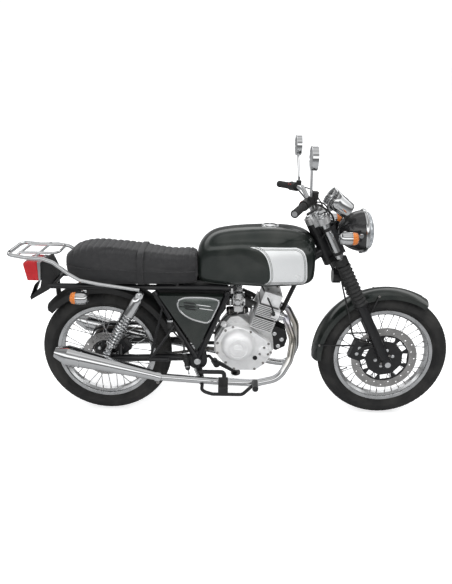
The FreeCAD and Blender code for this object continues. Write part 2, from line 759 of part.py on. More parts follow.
def handlebar():
    points = [bar_point(-1, 1), bar_point(-1, 0)]
    points += [V(riser_ahead, side * mm.riser_spacing * 2, mm.riser_up) for side in SIDES]
    points += [bar_point(1, 0), bar_point(1, 1)]
    bar = bent_tube(points, mm.bar_radius, mm.riser_spacing)
    risers = []
    for side in SIDES:
        clamp = V(riser_ahead, side * mm.riser_spacing, mm.riser_up)
        above = (clamp - front_axle).dot(fork_up) - mm.upper_yoke_at - mm.yoke_height
        foot = clamp - fork_up * (above - mm.fit_gap)
        risers.append(rod(foot, clamp, "riser_radius"))
        across = LEFT * mm.riser_radius * 5 / 4
        risers.append(rod(clamp - across, clamp + across, "bar_radius * 5 / 3"))
    keep("handlebar", joined([bar] + risers))


def grip_share(length):
    """Share of the handlebar's outer run that a length from its end leaves."""
    return 1 - length / (bar_point(1, 1) - bar_point(1, 0)).Length


def sleeve_on_bar(side, first, last, radius, extras=()):
    """Hollow sleeve round the handlebar between two lengths from its end."""
    start = bar_point(side, grip_share(first))
    end = bar_point(side, grip_share(last))
    beyond = (end - start).normalize() * mm.overrun
    bore = rod(start - beyond, end + beyond, "bar_radius + fit_gap")
    sleeve = rod(start, end, radius)
    return less(joined([sleeve, *extras]) if extras else sleeve, bore)


def grips():
    keep("grips", together([sleeve_on_bar(side, 0, mm.grip_length, "grip_radius")
                            for side in SIDES]))


def hand_controls():
    """Switch housing, lever and fluid or cable end beside each grip."""
    sets = []
    for side in SIDES:
        first = mm.grip_length + mm.fit_gap * 2
        last = mm.grip_length * 3 / 2
        root = bar_point(side, grip_share(last - mm.grip_radius)) + AHEAD * mm.grip_radius
        knuckle = root + AHEAD * mm.grip_radius * 3 / 2
        tip = bar_point(side, 1) + AHEAD * mm.grip_radius * 3
        middle = (knuckle + tip) / 2 + AHEAD * mm.grip_radius
        lever = bent_tube([root, knuckle, middle, tip], mm.bar_radius / 2, mm.grip_radius)
        stub = rod(root, root + UP * mm.grip_radius * 7 / 4, "grip_radius * 3 / 4")
        sets.append(sleeve_on_bar(side, first, last, "grip_radius * 5 / 4", (lever, stub)))
    keep("hand_controls", together(sets))


def mirrors():
    sets = []
    for side in SIDES:
        root = bar_point(side, grip_share(mm.grip_length * 3 / 2 - mm.grip_radius))
        foot = root + AHEAD * mm.grip_radius + UP * (mm.grip_radius * 7 / 4 + mm.fit_gap)
        centre = V(front_axle.x - mm.mirror_behind, side * mm.mirror_spacing, mm.mirror_up)
        elbow = V((foot.x + centre.x) / 2, (foot.y + centre.y) / 2, mm.mirror_up - mm.mirror_radius)
        stem = bent_tube([foot, foot + UP * mm.grip_radius, elbow,
                          centre + AHEAD * mm.grip_radius], mm.bar_radius / 2, mm.mirror_radius)
        head = rod(centre, centre + AHEAD * mm.grip_radius * 4 / 3, "mirror_radius")
        sets.append(joined([stem, head]))
    keep("mirrors", together(sets))


# Tank and seat


def body_section(ahead, half_width, bottom, top, shape):
    """Closed section, curved over the top and flat below, from shares of its size."""
    def at(left, up):
        return V(ahead, left * half_width, bottom + up * (top - bottom))

    over = [at(-left, up) for left, up in reversed(shape)] + [at(*place) for place in shape[1:]]
    curve = Part.BSplineCurve()
    curve.interpolate(Points=over)
    return Part.Wire([curve.toShape(), line(over[-1], over[0])])


def tank():
    """Sculpted tank over a tunnel for the frame's spine."""
    section_shares = [(0, 1), (0.5, 0.965), (0.84, 0.8), (0.99, 0.52), (0.97, 0.25),
                      (0.86, 0.06), (0.72, 0)]
    knee_shares = [(0, 1), (0.52, 0.96), (0.86, 0.8), (0.92, 0.52), (0.86, 0.25),
                   (0.78, 0.07), (0.66, 0)]
    # ahead, half width, bottom and top, each a share of the tank's own size
    station_shares = [
        (0, 0.4, 0.16, 0.56, section_shares), (0.02, 0.62, 0.05, 0.68, section_shares),
        (0.09, 0.84, 0.02, 0.84, knee_shares), (0.23, 0.94, 0, 0.945, knee_shares),
        (0.4, 0.98, 0, 0.985, knee_shares), (0.56, 1, 0, 1, section_shares),
        (0.74, 1, 0.02, 0.995, section_shares), (0.88, 0.95, 0.03, 0.95, section_shares),
        (0.965, 0.84, 0.07, 0.86, section_shares), (1, 0.6, 0.18, 0.7, section_shares),
    ]
    loops = [body_section(mm.tank_rear + ahead * mm.tank_length, wide * mm.tank_half_width,
                          tank_bottom + low * mm.tank_height,
                          tank_bottom + high * mm.tank_height, shape)
             for ahead, wide, low, high, shape in station_shares]
    shell = lofted(loops)
    low = tank_bottom - mm.tunnel_height
    front = mm.tank_rear + mm.tank_length - mm.tunnel_front_length
    for start, length, height in (
            (mm.tank_rear - mm.overrun, mm.tank_length + 2 * mm.overrun, mm.tunnel_height),
            (front, mm.tunnel_front_length + mm.overrun, mm.tunnel_front_height)):
        corner = V(start, -mm.tunnel_half_width, low)
        shell = shell.cut(Part.makeBox(length, 2 * mm.tunnel_half_width,
                                       mm.tunnel_height + height, corner))
    neck = cap_foot() - UP * mm.fit_gap
    shell = shell.cut(Part.makeCylinder(mm.cap_radius + mm.fit_gap, mm.cap_height * 4, neck))
    shell = shell.cut(Part.makeCylinder(mm.head_tube_radius * 3 / 2, mm.fork_top, stem_point(0),
                                        fork_up))
    keep("tank", shaped(shell))


def cap_foot():
    """Bottom of the filler cap's recess."""
    return V(mm.cap_ahead, 0, tank_bottom + mm.tank_height - mm.cap_height / 2)


def tank_cap():
    foot = cap_foot()
    ring = rod(foot, foot + UP * mm.cap_height, "cap_radius")
    lid = cone(foot + UP * mm.cap_height, foot + UP * mm.cap_height * 5 / 4,
               "cap_radius", "cap_radius * 3 / 4")
    keep("tank_cap", joined([ring, lid]))


def seat():
    """Long seat with a raised tail, flat underneath."""
    section_shares = [(0, 1), (0.5, 0.99), (0.82, 0.93), (0.96, 0.74), (1, 0.45),
                      (0.97, 0.12), (0.88, 0)]
    station_shares = [
        (0, 0.5, 0.42, 0.72), (0.02, 0.72, 0.27, 0.84), (0.08, 0.9, 0.12, 0.94),
        (0.2, 1, 0, 1), (0.42, 1, 0, 0.97), (0.62, 0.98, 0, 0.88),
        (0.82, 0.9, 0, 0.79), (0.95, 0.82, 0.01, 0.8), (1, 0.76, 0.04, 0.79),
    ]
    loops = [body_section(mm.seat_rear + ahead * mm.seat_length, wide * mm.seat_half_width,
                          seat_bottom + low * mm.seat_height,
                          seat_bottom + high * mm.seat_height, section_shares)
             for ahead, wide, low, high in station_shares]
    keep("seat", shaped(lofted(loops)))


# Frame


def stem_point(along, ahead=0):
    """Point on the steering axis."""
    return fork_point(along, ahead - mm.yoke_offset)


def frame_spine():
    """Head tube, backbone under the tank and the strut that hangs the engine."""
    low = mm.lower_yoke_at + mm.yoke_height + mm.headset_gap
    high = mm.upper_yoke_at - mm.headset_gap
    head = rod(stem_point(low), stem_point(high), "head_tube_radius")
    bore = rod(stem_point(low - mm.overrun), stem_point(high + mm.overrun),
               "stem_radius + 2 * fit_gap")
    spine_up = tank_bottom + mm.tunnel_height - mm.spine_radius * 5 / 4
    front = stem_point(low + mm.head_tube_radius * 3 / 2)
    knee = V(mm.tank_rear + mm.tank_length - mm.tunnel_front_length * 3 / 4, 0, spine_up)
    tail = V(mm.rail_front + mm.rail_radius, 0, mm.rail_up + mm.spine_radius)
    spine = bent_tube([front, knee, tail], mm.spine_radius, mm.tank_height / 2)
    across = rod(V(mm.rail_front, -mm.rail_spacing, mm.rail_up),
                 V(mm.rail_front, mm.rail_spacing, mm.rail_up), "rail_radius")
    web = rod(tail, V(mm.rail_front, 0, mm.rail_up), "spine_radius * 3 / 4")
    hang_share = 0.4
    hang_top = knee + (front - knee) * hang_share
    hang_foot = head_point(mm.head_height / 2, mm.cylinder_half_length + mm.fit_gap)
    hang_knee = V((hang_top.x + hang_foot.x) / 2 + mm.spine_radius, 0, tank_bottom - mm.overrun)
    hang_boss = hang_foot + barrel_ahead * mm.spine_radius
    hanger = bent_tube([hang_top, hang_knee, hang_boss, hang_foot], mm.bar_radius,
                       mm.spine_radius)
    pads = [rest_pad(mm.rail_front, side * (mm.tunnel_half_width + mm.rail_radius * 3 / 2),
                     tank_bottom - mm.rest_gap) for side in SIDES]
    keep("frame_spine", less(joined([head, spine, web, across, hanger] + pads), bore))


def rest_pad(ahead, left, top):
    """Rubber rest on a rail, up to the piece that sits on it."""
    return rod(V(ahead, left, mm.rail_up), V(ahead, left, top), "rail_radius * 3 / 4")


def seat_rails():
    """Two rails with the seat's rests, joined across at the back and the middle."""
    rest_shares = (0.35, 0.85)
    rails = []
    for side in SIDES:
        left = side * mm.rail_spacing
        start = V(mm.rail_front - mm.rail_radius - mm.fit_gap, left, mm.rail_up)
        end = V(mm.rail_rear - mm.rail_radius, left, mm.rail_up)
        rails.append(rod(start, end, "rail_radius"))
        for share in rest_shares:
            ahead = mm.seat_rear + share * mm.seat_length
            rails.append(rest_pad(ahead, left, seat_bottom - 2 * mm.rest_gap))
    for ahead in (mm.rail_rear, mm.shock_top_ahead):
        rails.append(rod(V(ahead, -mm.rail_spacing, mm.rail_up),
                         V(ahead, mm.rail_spacing, mm.rail_up), "rail_radius * 4 / 5"))
    keep("seat_rails", joined(rails))


def side_frames():
    """Struts from each rail down to the swingarm pivot, with its plate and lower tube."""
    sets = []
    for side in SIDES:
        pivot = V(mm.pivot_ahead, side * mm.cradle_spacing, mm.pivot_up)
        struts = []
        for ahead in (mm.strut_top, mm.mid_strut_top):
            top = V(ahead, side * mm.rail_spacing, mm.rail_up)
            down = (pivot - top).normalize()
            corner = mm.cradle_radius * math.sqrt(1 - down.z ** 2)
            below_rail = (mm.rail_radius + mm.fit_gap + corner) / abs(down.z)
            struts.append(rod(top + down * below_rail, pivot, "cradle_radius"))
        plate_half = LEFT * mm.plate_wall / 2
        struts.append(rod(pivot - plate_half, pivot + plate_half, "pivot_plate"))
        boss_half = LEFT * (mm.cradle_radius + mm.headset_gap / 2)
        struts.append(rod(pivot - boss_half, pivot + boss_half, "cradle_radius * 10 / 7"))
        struts.append(rod(pivot, cradle_foot(side), "cradle_radius"))
        sets.append(joined(struts))
    keep("side_frames", together(sets))


def cradle_foot(side):
    """Lower end of the side frame."""
    return V(mm.pivot_ahead + mm.pivot_plate / 2, side * mm.cradle_spacing,
             mm.pivot_up - mm.cradle_drop)


# Engine


cylinder_lean = math.radians(mm.cylinder_lean)
barrel_up = V(math.sin(cylinder_lean), 0, math.cos(cylinder_lean))
barrel_ahead = V(math.cos(cylinder_lean), 0, -math.sin(cylinder_lean))


def barrel_point(along, ahead=0, left=0):
    """Point in the leaning cylinder's own directions, from its foot."""
    foot = V(mm.cylinder_ahead, 0, mm.cylinder_up)
    return foot + barrel_up * along + barrel_ahead * ahead + LEFT * left


def head_point(along, ahead=0, left=0):
    """Point in the cylinder's directions, from the foot of the head."""
    return barrel_point(mm.cylinder_foot + mm.cylinder_height + along, ahead, left)


def deck_corner(side):
    """End of the crankcase deck that the cylinder stands on, as formulas."""
    return (f"cylinder_ahead + cylinder_foot * sin(cylinder_lean)"
            f" + {side} * cylinder_half_length * cos(cylinder_lean)",
            f"cylinder_up + cylinder_foot * cos(cylinder_lean)"
            f" - {side} * cylinder_half_length * sin(cylinder_lean)")


def case_outline():
    """Crankcase seen from the side, as shares of its length and height."""
    front_shares = [(0.32, 0), (0.7, 0), (0.86, 0.12), (1, 0.33), (0.98, 0.52)]
    rear_shares = [(0.46, 0.86), (0.4, 0.9), (0.27, 0.88), (0.14, 0.72), (0, 0.5), (0, 0.3),
                   (0.16, 0.11)]

    def at(ahead, up):
        return f"case_rear + {ahead} * case_length", f"case_bottom + {up} * case_height"

    return ([at(*share) for share in front_shares] + [deck_corner(1), deck_corner(-1)]
            + [at(*share) for share in rear_shares])


def crankcase():
    keep("crankcase", plate(case_outline(), "4 / 3 * case_half_width"))


def cover_solid(side, rear_share):
    """Side cover on the crankcase, thick as the case is wide."""
    outline = [(f"case_rear + {max(ahead, rear_share)} * case_length",
                f"case_bottom + {up} * case_height")
               for ahead, up in [(0.34, 0.02), (0.69, 0.02), (0.84, 0.13), (0.97, 0.33),
                                 (0.93, 0.5), (0.6, 0.72), (0.3, 0.8), (0.17, 0.74),
                                 (0.03, 0.5), (0.03, 0.31), (0.18, 0.13)]]
    slab = plate(outline, "case_half_width / 2")
    slab.Placement.Base = LEFT * side * mm.case_half_width * 11 / 12 + LEFT * side * mm.fit_gap
    return slab


def domed_cover(node, side, ahead, up, radius, depth, slab):
    """Round dome on the slab's outer face."""
    dome_shares = [(0, 1), (0.5, 0.97), (0.82, 0.8), (0.96, 0.45), (1, 0)]
    face = side * (mm.case_half_width * 7 / 6 + mm.fit_gap)
    start = V(ahead, face - side * mm.plate_wall, up)
    dome = lathe([(r * radius, z * depth) for r, z in reversed(dome_shares)], start, LEFT * side)
    keep(node, joined([slab, dome]))


def engine_covers():
    rear_share = 0.3
    domed_cover("clutch_cover", -1, mm.cover_ahead, mm.cover_up, mm.cover_radius,
                mm.cover_depth, cover_solid(-1, 0))
    domed_cover("alternator_cover", 1, mm.cylinder_ahead, mm.cover_up - mm.plate_wall,
                mm.cover_radius * 3 / 4, mm.cover_depth / 2, cover_solid(1, rear_share))


def finned_block(foot, height):
    """Core with cooling fins all round it, in the cylinder's directions."""
    turn = FreeCAD.Rotation(LEFT, mm.cylinder_lean)
    rise = value_of(height)
    middle = barrel_point(foot + rise / 2)
    core = box(middle, "2 * (cylinder_half_length - fin_depth)",
               "2 * (cylinder_half_width - fin_depth)", height, turn)
    fins = []
    for index in range(int(rise / mm.fin_pitch)):
        level = barrel_point(foot + mm.fin_pitch * (index + 0.5))
        fins.append(box(level, "2 * cylinder_half_length", "2 * cylinder_half_width",
                        "fin_wall", turn))
    return [core] + fins


def cylinder():
    keep("cylinder", joined(finned_block(mm.cylinder_foot, "cylinder_height - fit_gap")))


def cylinder_head():
    turn = FreeCAD.Rotation(LEFT, mm.cylinder_lean)
    foot = mm.cylinder_foot + mm.cylinder_height
    fins = finned_block(foot, "head_height")
    rocker = box(head_point(mm.head_height + mm.rocker_height / 2), "2 * rocker_half_length",
                 "2 * (cylinder_half_width - fin_depth)", "rocker_height", turn)
    towers = []
    for side in SIDES:
        for ahead in (-mm.rocker_half_length / 2, mm.rocker_half_length / 2):
            start = head_point(mm.head_height + mm.rocker_height / 2, ahead,
                               side * (mm.cylinder_half_width - mm.fin_depth - mm.overrun))
            towers.append(rod(start, start + LEFT * side * (mm.overrun + mm.fin_depth / 2),
                              "rocker_half_length * 3 / 7"))
    stubs = []
    for side in SIDES:
        start = head_point(mm.head_height / 2, mm.cylinder_half_length - mm.fin_depth - mm.overrun,
                           side * mm.port_spacing)
        stubs.append(rod(start, head_point(mm.head_height / 2, mm.cylinder_half_length + mm.fin_wall,
                                           side * mm.port_spacing), "pipe_radius * 4 / 3"))
    keep("cylinder_head", joined(fins + [rocker] + towers + stubs))


def carburettors():
    """Twin carburettors: mixing body, float bowl, cap and rubber to the head."""
    sets = []
    for side in SIDES:
        left = side * mm.carb_spacing
        centre = V(mm.carb_ahead, left, mm.carb_up)
        skew = mm.carb_radius * math.tan(cylinder_lean)
        head = head_point(mm.head_height / 2, -mm.cylinder_half_length - mm.fit_gap - skew, left)
        front = V(head.x, left, head.z)
        rear = V(mm.carb_ahead - mm.bowl_drop, left, mm.carb_up)
        throat = rod(rear, centre, "carb_radius * 4 / 5")
        rubber = rod(centre, front, "carb_radius * 4 / 5")
        bowl = rod(centre - UP * mm.bowl_drop, centre, "bowl_radius")
        cap = rod(centre, centre + UP * mm.bowl_drop * 3 / 4, "carb_radius")
        sets.append(joined([throat, rubber, bowl, cap]))
    keep("carburettors", together(sets))


def air_box():
    """Air and battery box between the side covers."""
    rear, front = mm.strut_top, mm.carb_ahead - mm.bowl_drop - mm.fit_gap
    span, rise = front - rear, mm.rail_up - mm.rail_radius - mm.pivot_up
    corner_shares = [(0.04, 1), (0.2, 0.62), (0.38, 0.28), (0.7, 0.28), (1, 0.72), (1, 1)]
    points = [V(rear + ahead * span, -mm.rail_spacing * 5 / 6, mm.pivot_up + up * rise)
              for ahead, up in corner_shares]
    face = Part.Face(Part.makePolygon(points + points[:1]))
    tray_up = mm.rail_up - mm.rail_radius - mm.fit_gap - mm.guard_wall / 2
    tray = box(V((rear + front) / 2, 0, tray_up), "rail_spacing * 2", "rail_spacing * 2",
               "guard_wall")
    keep("air_box", joined([shaped(face.extrude(LEFT * mm.rail_spacing * 5 / 3)), tray]))


# Exhaust


def exhaust(node, side, path_shares):
    """Header pipe and megaphone silencer on one side."""
    port = head_point(mm.head_height / 2, mm.cylinder_half_length + mm.fin_wall + mm.fit_gap,
                      side * mm.port_spacing)
    flange = rod(port, port + barrel_ahead * mm.pipe_radius / 2, "pipe_radius * 4 / 3")
    joint = V(mm.silencer_front, side * mm.silencer_spacing, mm.silencer_start_up)
    drop = port.z - mm.pipe_up
    points = [port, port + barrel_ahead * mm.pipe_radius * 2]
    for ahead, out, fall in path_shares:
        points.append(V(port.x + ahead * mm.case_length,
                        side * (mm.port_spacing + out * (mm.pipe_spacing - mm.port_spacing)),
                        port.z - fall * drop))
    points.append(joint)
    header = bent_tube(points, mm.pipe_radius, mm.case_half_width)
    run = V(-mm.silencer_length, 0, mm.silencer_rise).normalize()
    length = math.hypot(mm.silencer_length, mm.silencer_rise)
    wide = joint + run * length
    tail = wide + run * mm.silencer_tail
    cone_one = cone(joint, wide, "pipe_radius * 6 / 5", "silencer_radius")
    cone_two = cone(wide, tail, "silencer_radius", "outlet_radius")
    keep(node, joined([header, flange, cone_one, cone_two]))


def exhausts():
    right_shares = [(0.14, 0.1, 0.1), (0.245, 0.3, 0.36), (0.2, 0.6, 0.66), (0.02, 0.9, 0.93),
                    (-0.35, 1, 1.0), (-1.05, 1.05, 0.97)]
    left_shares = [(0.2, 0.1, 0.08), (0.37, 0.3, 0.38), (0.4, 0.6, 0.8), (0.28, 0.9, 1.17),
                   (-0.05, 1, 1.14), (-0.6, 1, 1.0), (-1.05, 1.05, 0.97)]
    exhaust("exhaust_right", -1, right_shares)
    exhaust("exhaust_left", 1, left_shares)


# Rear end


def swingarm():
    """Fork of two arms on a pivot tube, each ending in an axle lug."""
    pivot = V(mm.pivot_ahead, 0, mm.pivot_up)
    half = mm.arm_spacing + mm.arm_radius * 3 / 4
    tube = rod(pivot - LEFT * half, pivot + LEFT * half, "arm_radius * 6 / 5")
    parts = [tube]
    for side in SIDES:
        left = LEFT * side * mm.arm_spacing
        end = rear_axle + AHEAD * mm.arm_radius + left
        parts.append(rod(pivot + left, end, "arm_radius"))
        lug = rear_axle + left
        parts.append(rod(lug - LEFT * mm.plate_wall, lug + LEFT * mm.plate_wall,
                         "arm_radius * 4 / 3"))
        inner_face = mm.shock_spacing - mm.damper_radius - mm.fit_gap
        foot = V(rear_axle.x + mm.shock_foot_lead, side * inner_face, mm.shock_foot_up)
        root = V(rear_axle.x + mm.shock_foot_lead, side * mm.arm_spacing, axle_up)
        parts.append(rod(root, V(foot.x, root.y, foot.z), "arm_radius * 3 / 4"))
        parts.append(rod(V(foot.x, root.y, foot.z), foot, "axle_radius"))
    bore = rod(rear_axle - LEFT * mm.cradle_spacing * 2, rear_axle + LEFT * mm.cradle_spacing * 2,
               "axle_radius + fit_gap")
    bolt = rod(pivot - LEFT * mm.cradle_spacing * 2, pivot + LEFT * mm.cradle_spacing * 2,
               "axle_radius + fit_gap")
    keep("swingarm", less(joined(parts), together([bore, bolt])))


def pivot_bolt():
    pivot = V(mm.pivot_ahead, 0, mm.pivot_up)
    end = mm.cradle_spacing - mm.cradle_radius - mm.headset_gap
    keep("pivot_bolt", rod(pivot - LEFT * end, pivot + LEFT * end, "axle_radius"))


def shocks():
    """Spring and damper each side, eye to eye, with a plain can at the top."""
    coils = int(mm.spring_coils)
    sets = []
    for side in SIDES:
        left = side * mm.shock_spacing
        top = V(mm.shock_top_ahead, left, shock_top_up)
        foot = V(rear_axle.x + mm.shock_foot_lead, left, mm.shock_foot_up)
        length = (top - foot).Length
        low_share, high_share = 0.14, 1 - mm.can_share
        outline = [("0", "0"), ("damper_radius", "0"),
                   ("damper_radius", f"{low_share} * {length}")]
        for index in range(coils * 2 + 1):
            radius = "spring_radius" if index % 2 else "spring_radius - spring_groove"
            share = low_share + (high_share - low_share) * index / (coils * 2)
            outline.append((radius, f"{share} * {length}"))
        outline += [("spring_radius", f"{high_share} * {length}"),
                    ("spring_radius", f"{1 - mm.can_share / 4} * {length}"),
                    ("damper_radius", f"{length}"), ("0", f"{length}")]
        body = turned(outline)
        body.Placement = aim(foot, top - foot)
        half = LEFT * mm.eye_width / 2
        eyes = [rod(end - half, end + half, "eye_radius") for end in (foot, top)]
        sets.append(joined([body] + eyes))
    keep("shocks", together(sets))


def rear_mudguard():
    """Crowned guard, hung on two pairs of lugs from the rails' cross tubes."""
    outer = mm.rear_guard_radius + mm.guard_wall
    section = guard_section(rear_axle, outer, mm.rear_guard_half_width, mm.rear_guard_crown,
                            mm.rear_guard_skirt)
    guard = shaped(turned_section(section, rear_axle, mm.rear_guard_rear - mm.rear_guard_front,
                                  mm.rear_guard_front))
    parts = [guard]
    for ahead in (mm.rail_rear, mm.shock_top_ahead):
        top = mm.rail_up - mm.rail_radius * 4 / 5 - mm.fit_gap
        low = rear_axle.z + math.sqrt(outer ** 2 - (ahead - rear_axle.x) ** 2)
        for side in SIDES:
            left = side * mm.rear_guard_half_width / 4
            parts.append(rod(V(ahead, left, low - mm.rear_guard_crown), V(ahead, left, top),
                             "hanger_radius"))
    keep("rear_mudguard", joined(parts))


def tail_point(along, up, left=0):
    """Point on the tail, as shares of the lamp's length and height from its base."""
    return V(mm.tail_ahead - along * mm.tail_length, left * mm.tail_half_width,
             mm.tail_up + up * mm.tail_height)


def side_profile(outline, half_width):
    """Solid from a side-view outline, as wide as twice its half width."""
    points = [V(point.x, -half_width, point.z) for point in outline]
    return shaped(Part.Face(Part.makePolygon(points + points[:1])).extrude(
        LEFT * half_width * 2))


def tail_lamp():
    corner_shares = [(0, 0.5), (0.7, 0.54), (0.96, 0.46), (1, 0.34), (0.84, -0.5), (0.1, -0.5)]
    keep("tail_lamp", side_profile([tail_point(*share) for share in corner_shares],
                                   mm.tail_half_width))


def plate_holder():
    """Black bracket from the frame's end to the lamp, with the plate's flap."""
    bracket_shares = [(0, 0.5), (-0.35, 0.62), (-0.75, -0.3), (-0.3, -1.0), (0.82, -1.6),
                      (0.8, -1.42), (0.2, -0.9), (0.1, -0.52)]
    rail_end = V(mm.rail_rear, 0, mm.rail_up)
    outline = [tail_point(*share) for share in bracket_shares]
    outline[0].x += mm.fit_gap
    bracket = side_profile(outline, mm.tail_half_width * 4 / 5)
    hole = rod(rail_end - LEFT * mm.rail_spacing, rail_end + LEFT * mm.rail_spacing,
               "rail_radius * 4 / 5 + fit_gap")
    keep("plate_holder", less(bracket, hole))


def rack():
    """Grab rail from both shock tops, looped behind the lamp, with a carrier inside."""
    # ahead from the shock top to the rack's end, out to its half width, up to its top
    rail_shares = [(0, 1.17, 0), (0.3, 1.28, 0.2), (0.44, 1.28, 0.31), (0.52, 1.27, 0.5),
                   (0.64, 1.2, 0.84), (0.72, 1.1, 0.92), (0.86, 1, 0.93), (0.985, 0.92, 1)]
    inner_share = 0.6
    top_up = shock_top_up + mm.eye_radius + mm.rack_radius
    span, rise = mm.rack_rear - mm.shock_top_ahead, mm.rack_up - top_up
    right = [V(mm.shock_top_ahead + ahead * span, -out * mm.rack_half_width, top_up + up * rise)
             for ahead, out, up in rail_shares]
    left = [V(point.x, -point.y, point.z) for point in reversed(right)]
    inner_half = mm.rack_half_width * inner_share
    end = [V(mm.rack_rear, side * inner_half, mm.rack_up) for side in SIDES]
    parts = [bent_tube(right + end + left, mm.rack_radius, mm.rack_half_width / 3)]
    ahead = mm.seat_rear - mm.rack_radius * 3
    back = mm.rack_rear + mm.rack_radius * 5
    up = mm.rack_up
    inner = [V(back, -inner_half, up), V(ahead, -inner_half, up), V(ahead, inner_half, up),
             V(back, inner_half, up)]
    parts.append(bent_tube(inner, mm.rack_radius * 2 / 3, mm.rack_half_width / 4))
    for place in (back, (back + ahead) / 2):
        parts.append(rod(V(place, -mm.rack_half_width, up - mm.rack_radius / 2),
                         V(place, mm.rack_half_width, up - mm.rack_radius / 2),
                         "rack_radius * 2 / 3"))
    keep("rack", joined(parts))


def side_covers():
    """Triangular cover each side, between the struts, with a raised oval badge."""
    under = mm.rail_up - mm.rail_radius * 2
    depth = under - mm.pivot_up
    span = mm.mid_strut_top - mm.strut_top
    corner_shares = [(0.105, 1), (0.915, 1), (0.61, 0.2), (0.585, 0.16), (0.56, 0.2)]
    covers = []
    for side in SIDES:
        inner = mm.rail_spacing + mm.fit_gap
        points = [V(mm.strut_top + ahead * span, side * inner, mm.pivot_up + up * depth)
                  for ahead, up in corner_shares]
        slab = Part.Face(Part.makePolygon(points + points[:1])).extrude(
            LEFT * side * (mm.cradle_spacing - mm.rail_spacing))
        stud_place = (points[0] + points[1] + points[3]) / 3
        stud = rod(V(stud_place.x, side * (mm.rail_spacing * 5 / 6 + mm.fit_gap), stud_place.z),
                   V(stud_place.x, side * (inner + mm.hanger_radius), stud_place.z),
                   "hanger_radius")
        covers.append(joined([shaped(slab), stud]))
    keep("side_covers", together(covers))


# Foot controls and side stand


def footpegs():
    """Rider's and passenger's peg each side, each on its hanger."""
    sets = []
    over_pipe = mm.peg_up + mm.pipe_radius * 3 / 2
    for side in SIDES:
        inner = V(mm.peg_ahead, side * mm.peg_inner, mm.peg_up)
        outer = inner + LEFT * side * mm.peg_length
        drop_share = (mm.pivot_up - over_pipe) / mm.cradle_drop
        root = V(mm.pivot_ahead + mm.pivot_plate / 2 * drop_share,
                 side * (mm.cradle_spacing + mm.cradle_radius + mm.fit_gap), over_pipe)
        turn_out = V(root.x, side * mm.pipe_spacing, over_pipe)
        corner = V(mm.peg_ahead, side * mm.pipe_spacing, over_pipe)
        hanger = bent_tube([root, turn_out, corner, inner], mm.peg_radius * 2 / 3,
                           mm.peg_radius)
        sets.append(joined([hanger, rod(inner, outer, "peg_radius")]))
    for side in SIDES:
        knuckle = V(mm.passenger_peg_ahead, side * mm.hanger_spacing, mm.passenger_peg_up)
        pivot = V(mm.pivot_ahead, side * mm.cradle_spacing, mm.pivot_up)
        top = V(mm.strut_top, side * mm.rail_spacing, mm.rail_up)
        rods = []
        for share in (0.25, 0.5):
            reach = mm.cradle_radius + mm.hanger_radius + mm.fit_gap * 2
            root = top + (pivot - top) * share + LEFT * side * reach
            rods.append(rod(root, knuckle, "hanger_radius"))
        peg = rod(knuckle, knuckle + AHEAD * mm.peg_length * 4 / 5, "peg_radius * 2 / 3")
        sets.append(joined(rods + [peg, ball(knuckle, "hanger_radius * 2")]))
    keep("footpegs", together(sets))


def foot_levers():
    """Brake pedal on the right, gear lever on the left."""
    out = mm.peg_inner + mm.peg_radius * 2
    low = mm.peg_up - mm.peg_radius * 4
    root = cradle_foot(-1) + V(0, -mm.cradle_radius - mm.fit_gap, mm.pedal_radius)
    pad = V(mm.peg_ahead + mm.peg_length * 4 / 3, -out - mm.pedal_pad, mm.peg_up)
    pad_rise = (V(pad.x, -out, pad.z)
                - V(mm.peg_ahead + mm.peg_length * 4 / 5, -out, low)).normalize()
    pedal = joined([
        bent_tube([root, V(root.x, -out, root.z), V(mm.peg_ahead - mm.peg_length / 2, -out, low),
                   V(mm.peg_ahead + mm.peg_length * 4 / 5, -out, low),
                   V(pad.x, -out, pad.z) - pad_rise * mm.pedal_radius],
                  mm.pedal_radius, mm.peg_radius * 2),
        rod(V(pad.x, -out + mm.pedal_pad, pad.z), V(pad.x, -out - mm.peg_length / 2, pad.z),
            "pedal_pad")])
    shaft = V(mm.case_rear + mm.case_length / 3, mm.case_half_width * 7 / 6, mm.case_bottom
              + mm.case_height / 6)
    elbow = V(shaft.x, out - mm.peg_radius, shaft.z)
    toe = V(mm.peg_ahead + mm.peg_length * 3 / 2, out - mm.peg_radius, mm.peg_up + mm.pedal_pad)
    lever = joined([
        bent_tube([shaft + LEFT * mm.fit_gap * 2, elbow, toe], mm.pedal_radius * 3 / 4,
                  mm.pedal_radius),
        rod(toe - LEFT * mm.pedal_radius, toe + LEFT * mm.peg_length / 2,
            "pedal_pad * 3 / 4")])
    keep("foot_levers", together([pedal, lever]))


stand_pivot = V(mm.stand_pivot_ahead, mm.stand_pivot_left, mm.stand_pivot_up)
world_up = V(0, -math.sin(lean), math.cos(lean))
stand_ground = V(mm.stand_foot_ahead, mm.stand_foot_left,
                 mm.stand_foot_left * math.tan(lean))
stand_axis = V(-mm.stand_yaw_share, 1, 0).normalize()


def side_stand():
    """Leg from its eye to a round foot, flat on the ground when the machine leans."""
    eye_start = stand_pivot + stand_axis * mm.fit_gap * 2
    eye_end = eye_start + stand_axis * mm.stand_radius * 3 / 2
    ankle = stand_ground + world_up * mm.foot_height
    leg = rod(eye_end, ankle, "stand_radius")
    eye = rod(eye_start, eye_end, "stand_boss")
    foot = rod(stand_ground, ankle, "foot_radius")
    bore = rod(eye_start - stand_axis * mm.overrun, eye_end + stand_axis * mm.overrun,
               "axle_radius + 2 * fit_gap")
    under = rod(stand_ground - world_up * mm.overrun * 2, stand_ground, "foot_radius * 2")
    keep("side_stand", less(joined([leg, eye, foot]), together([bore, under])))


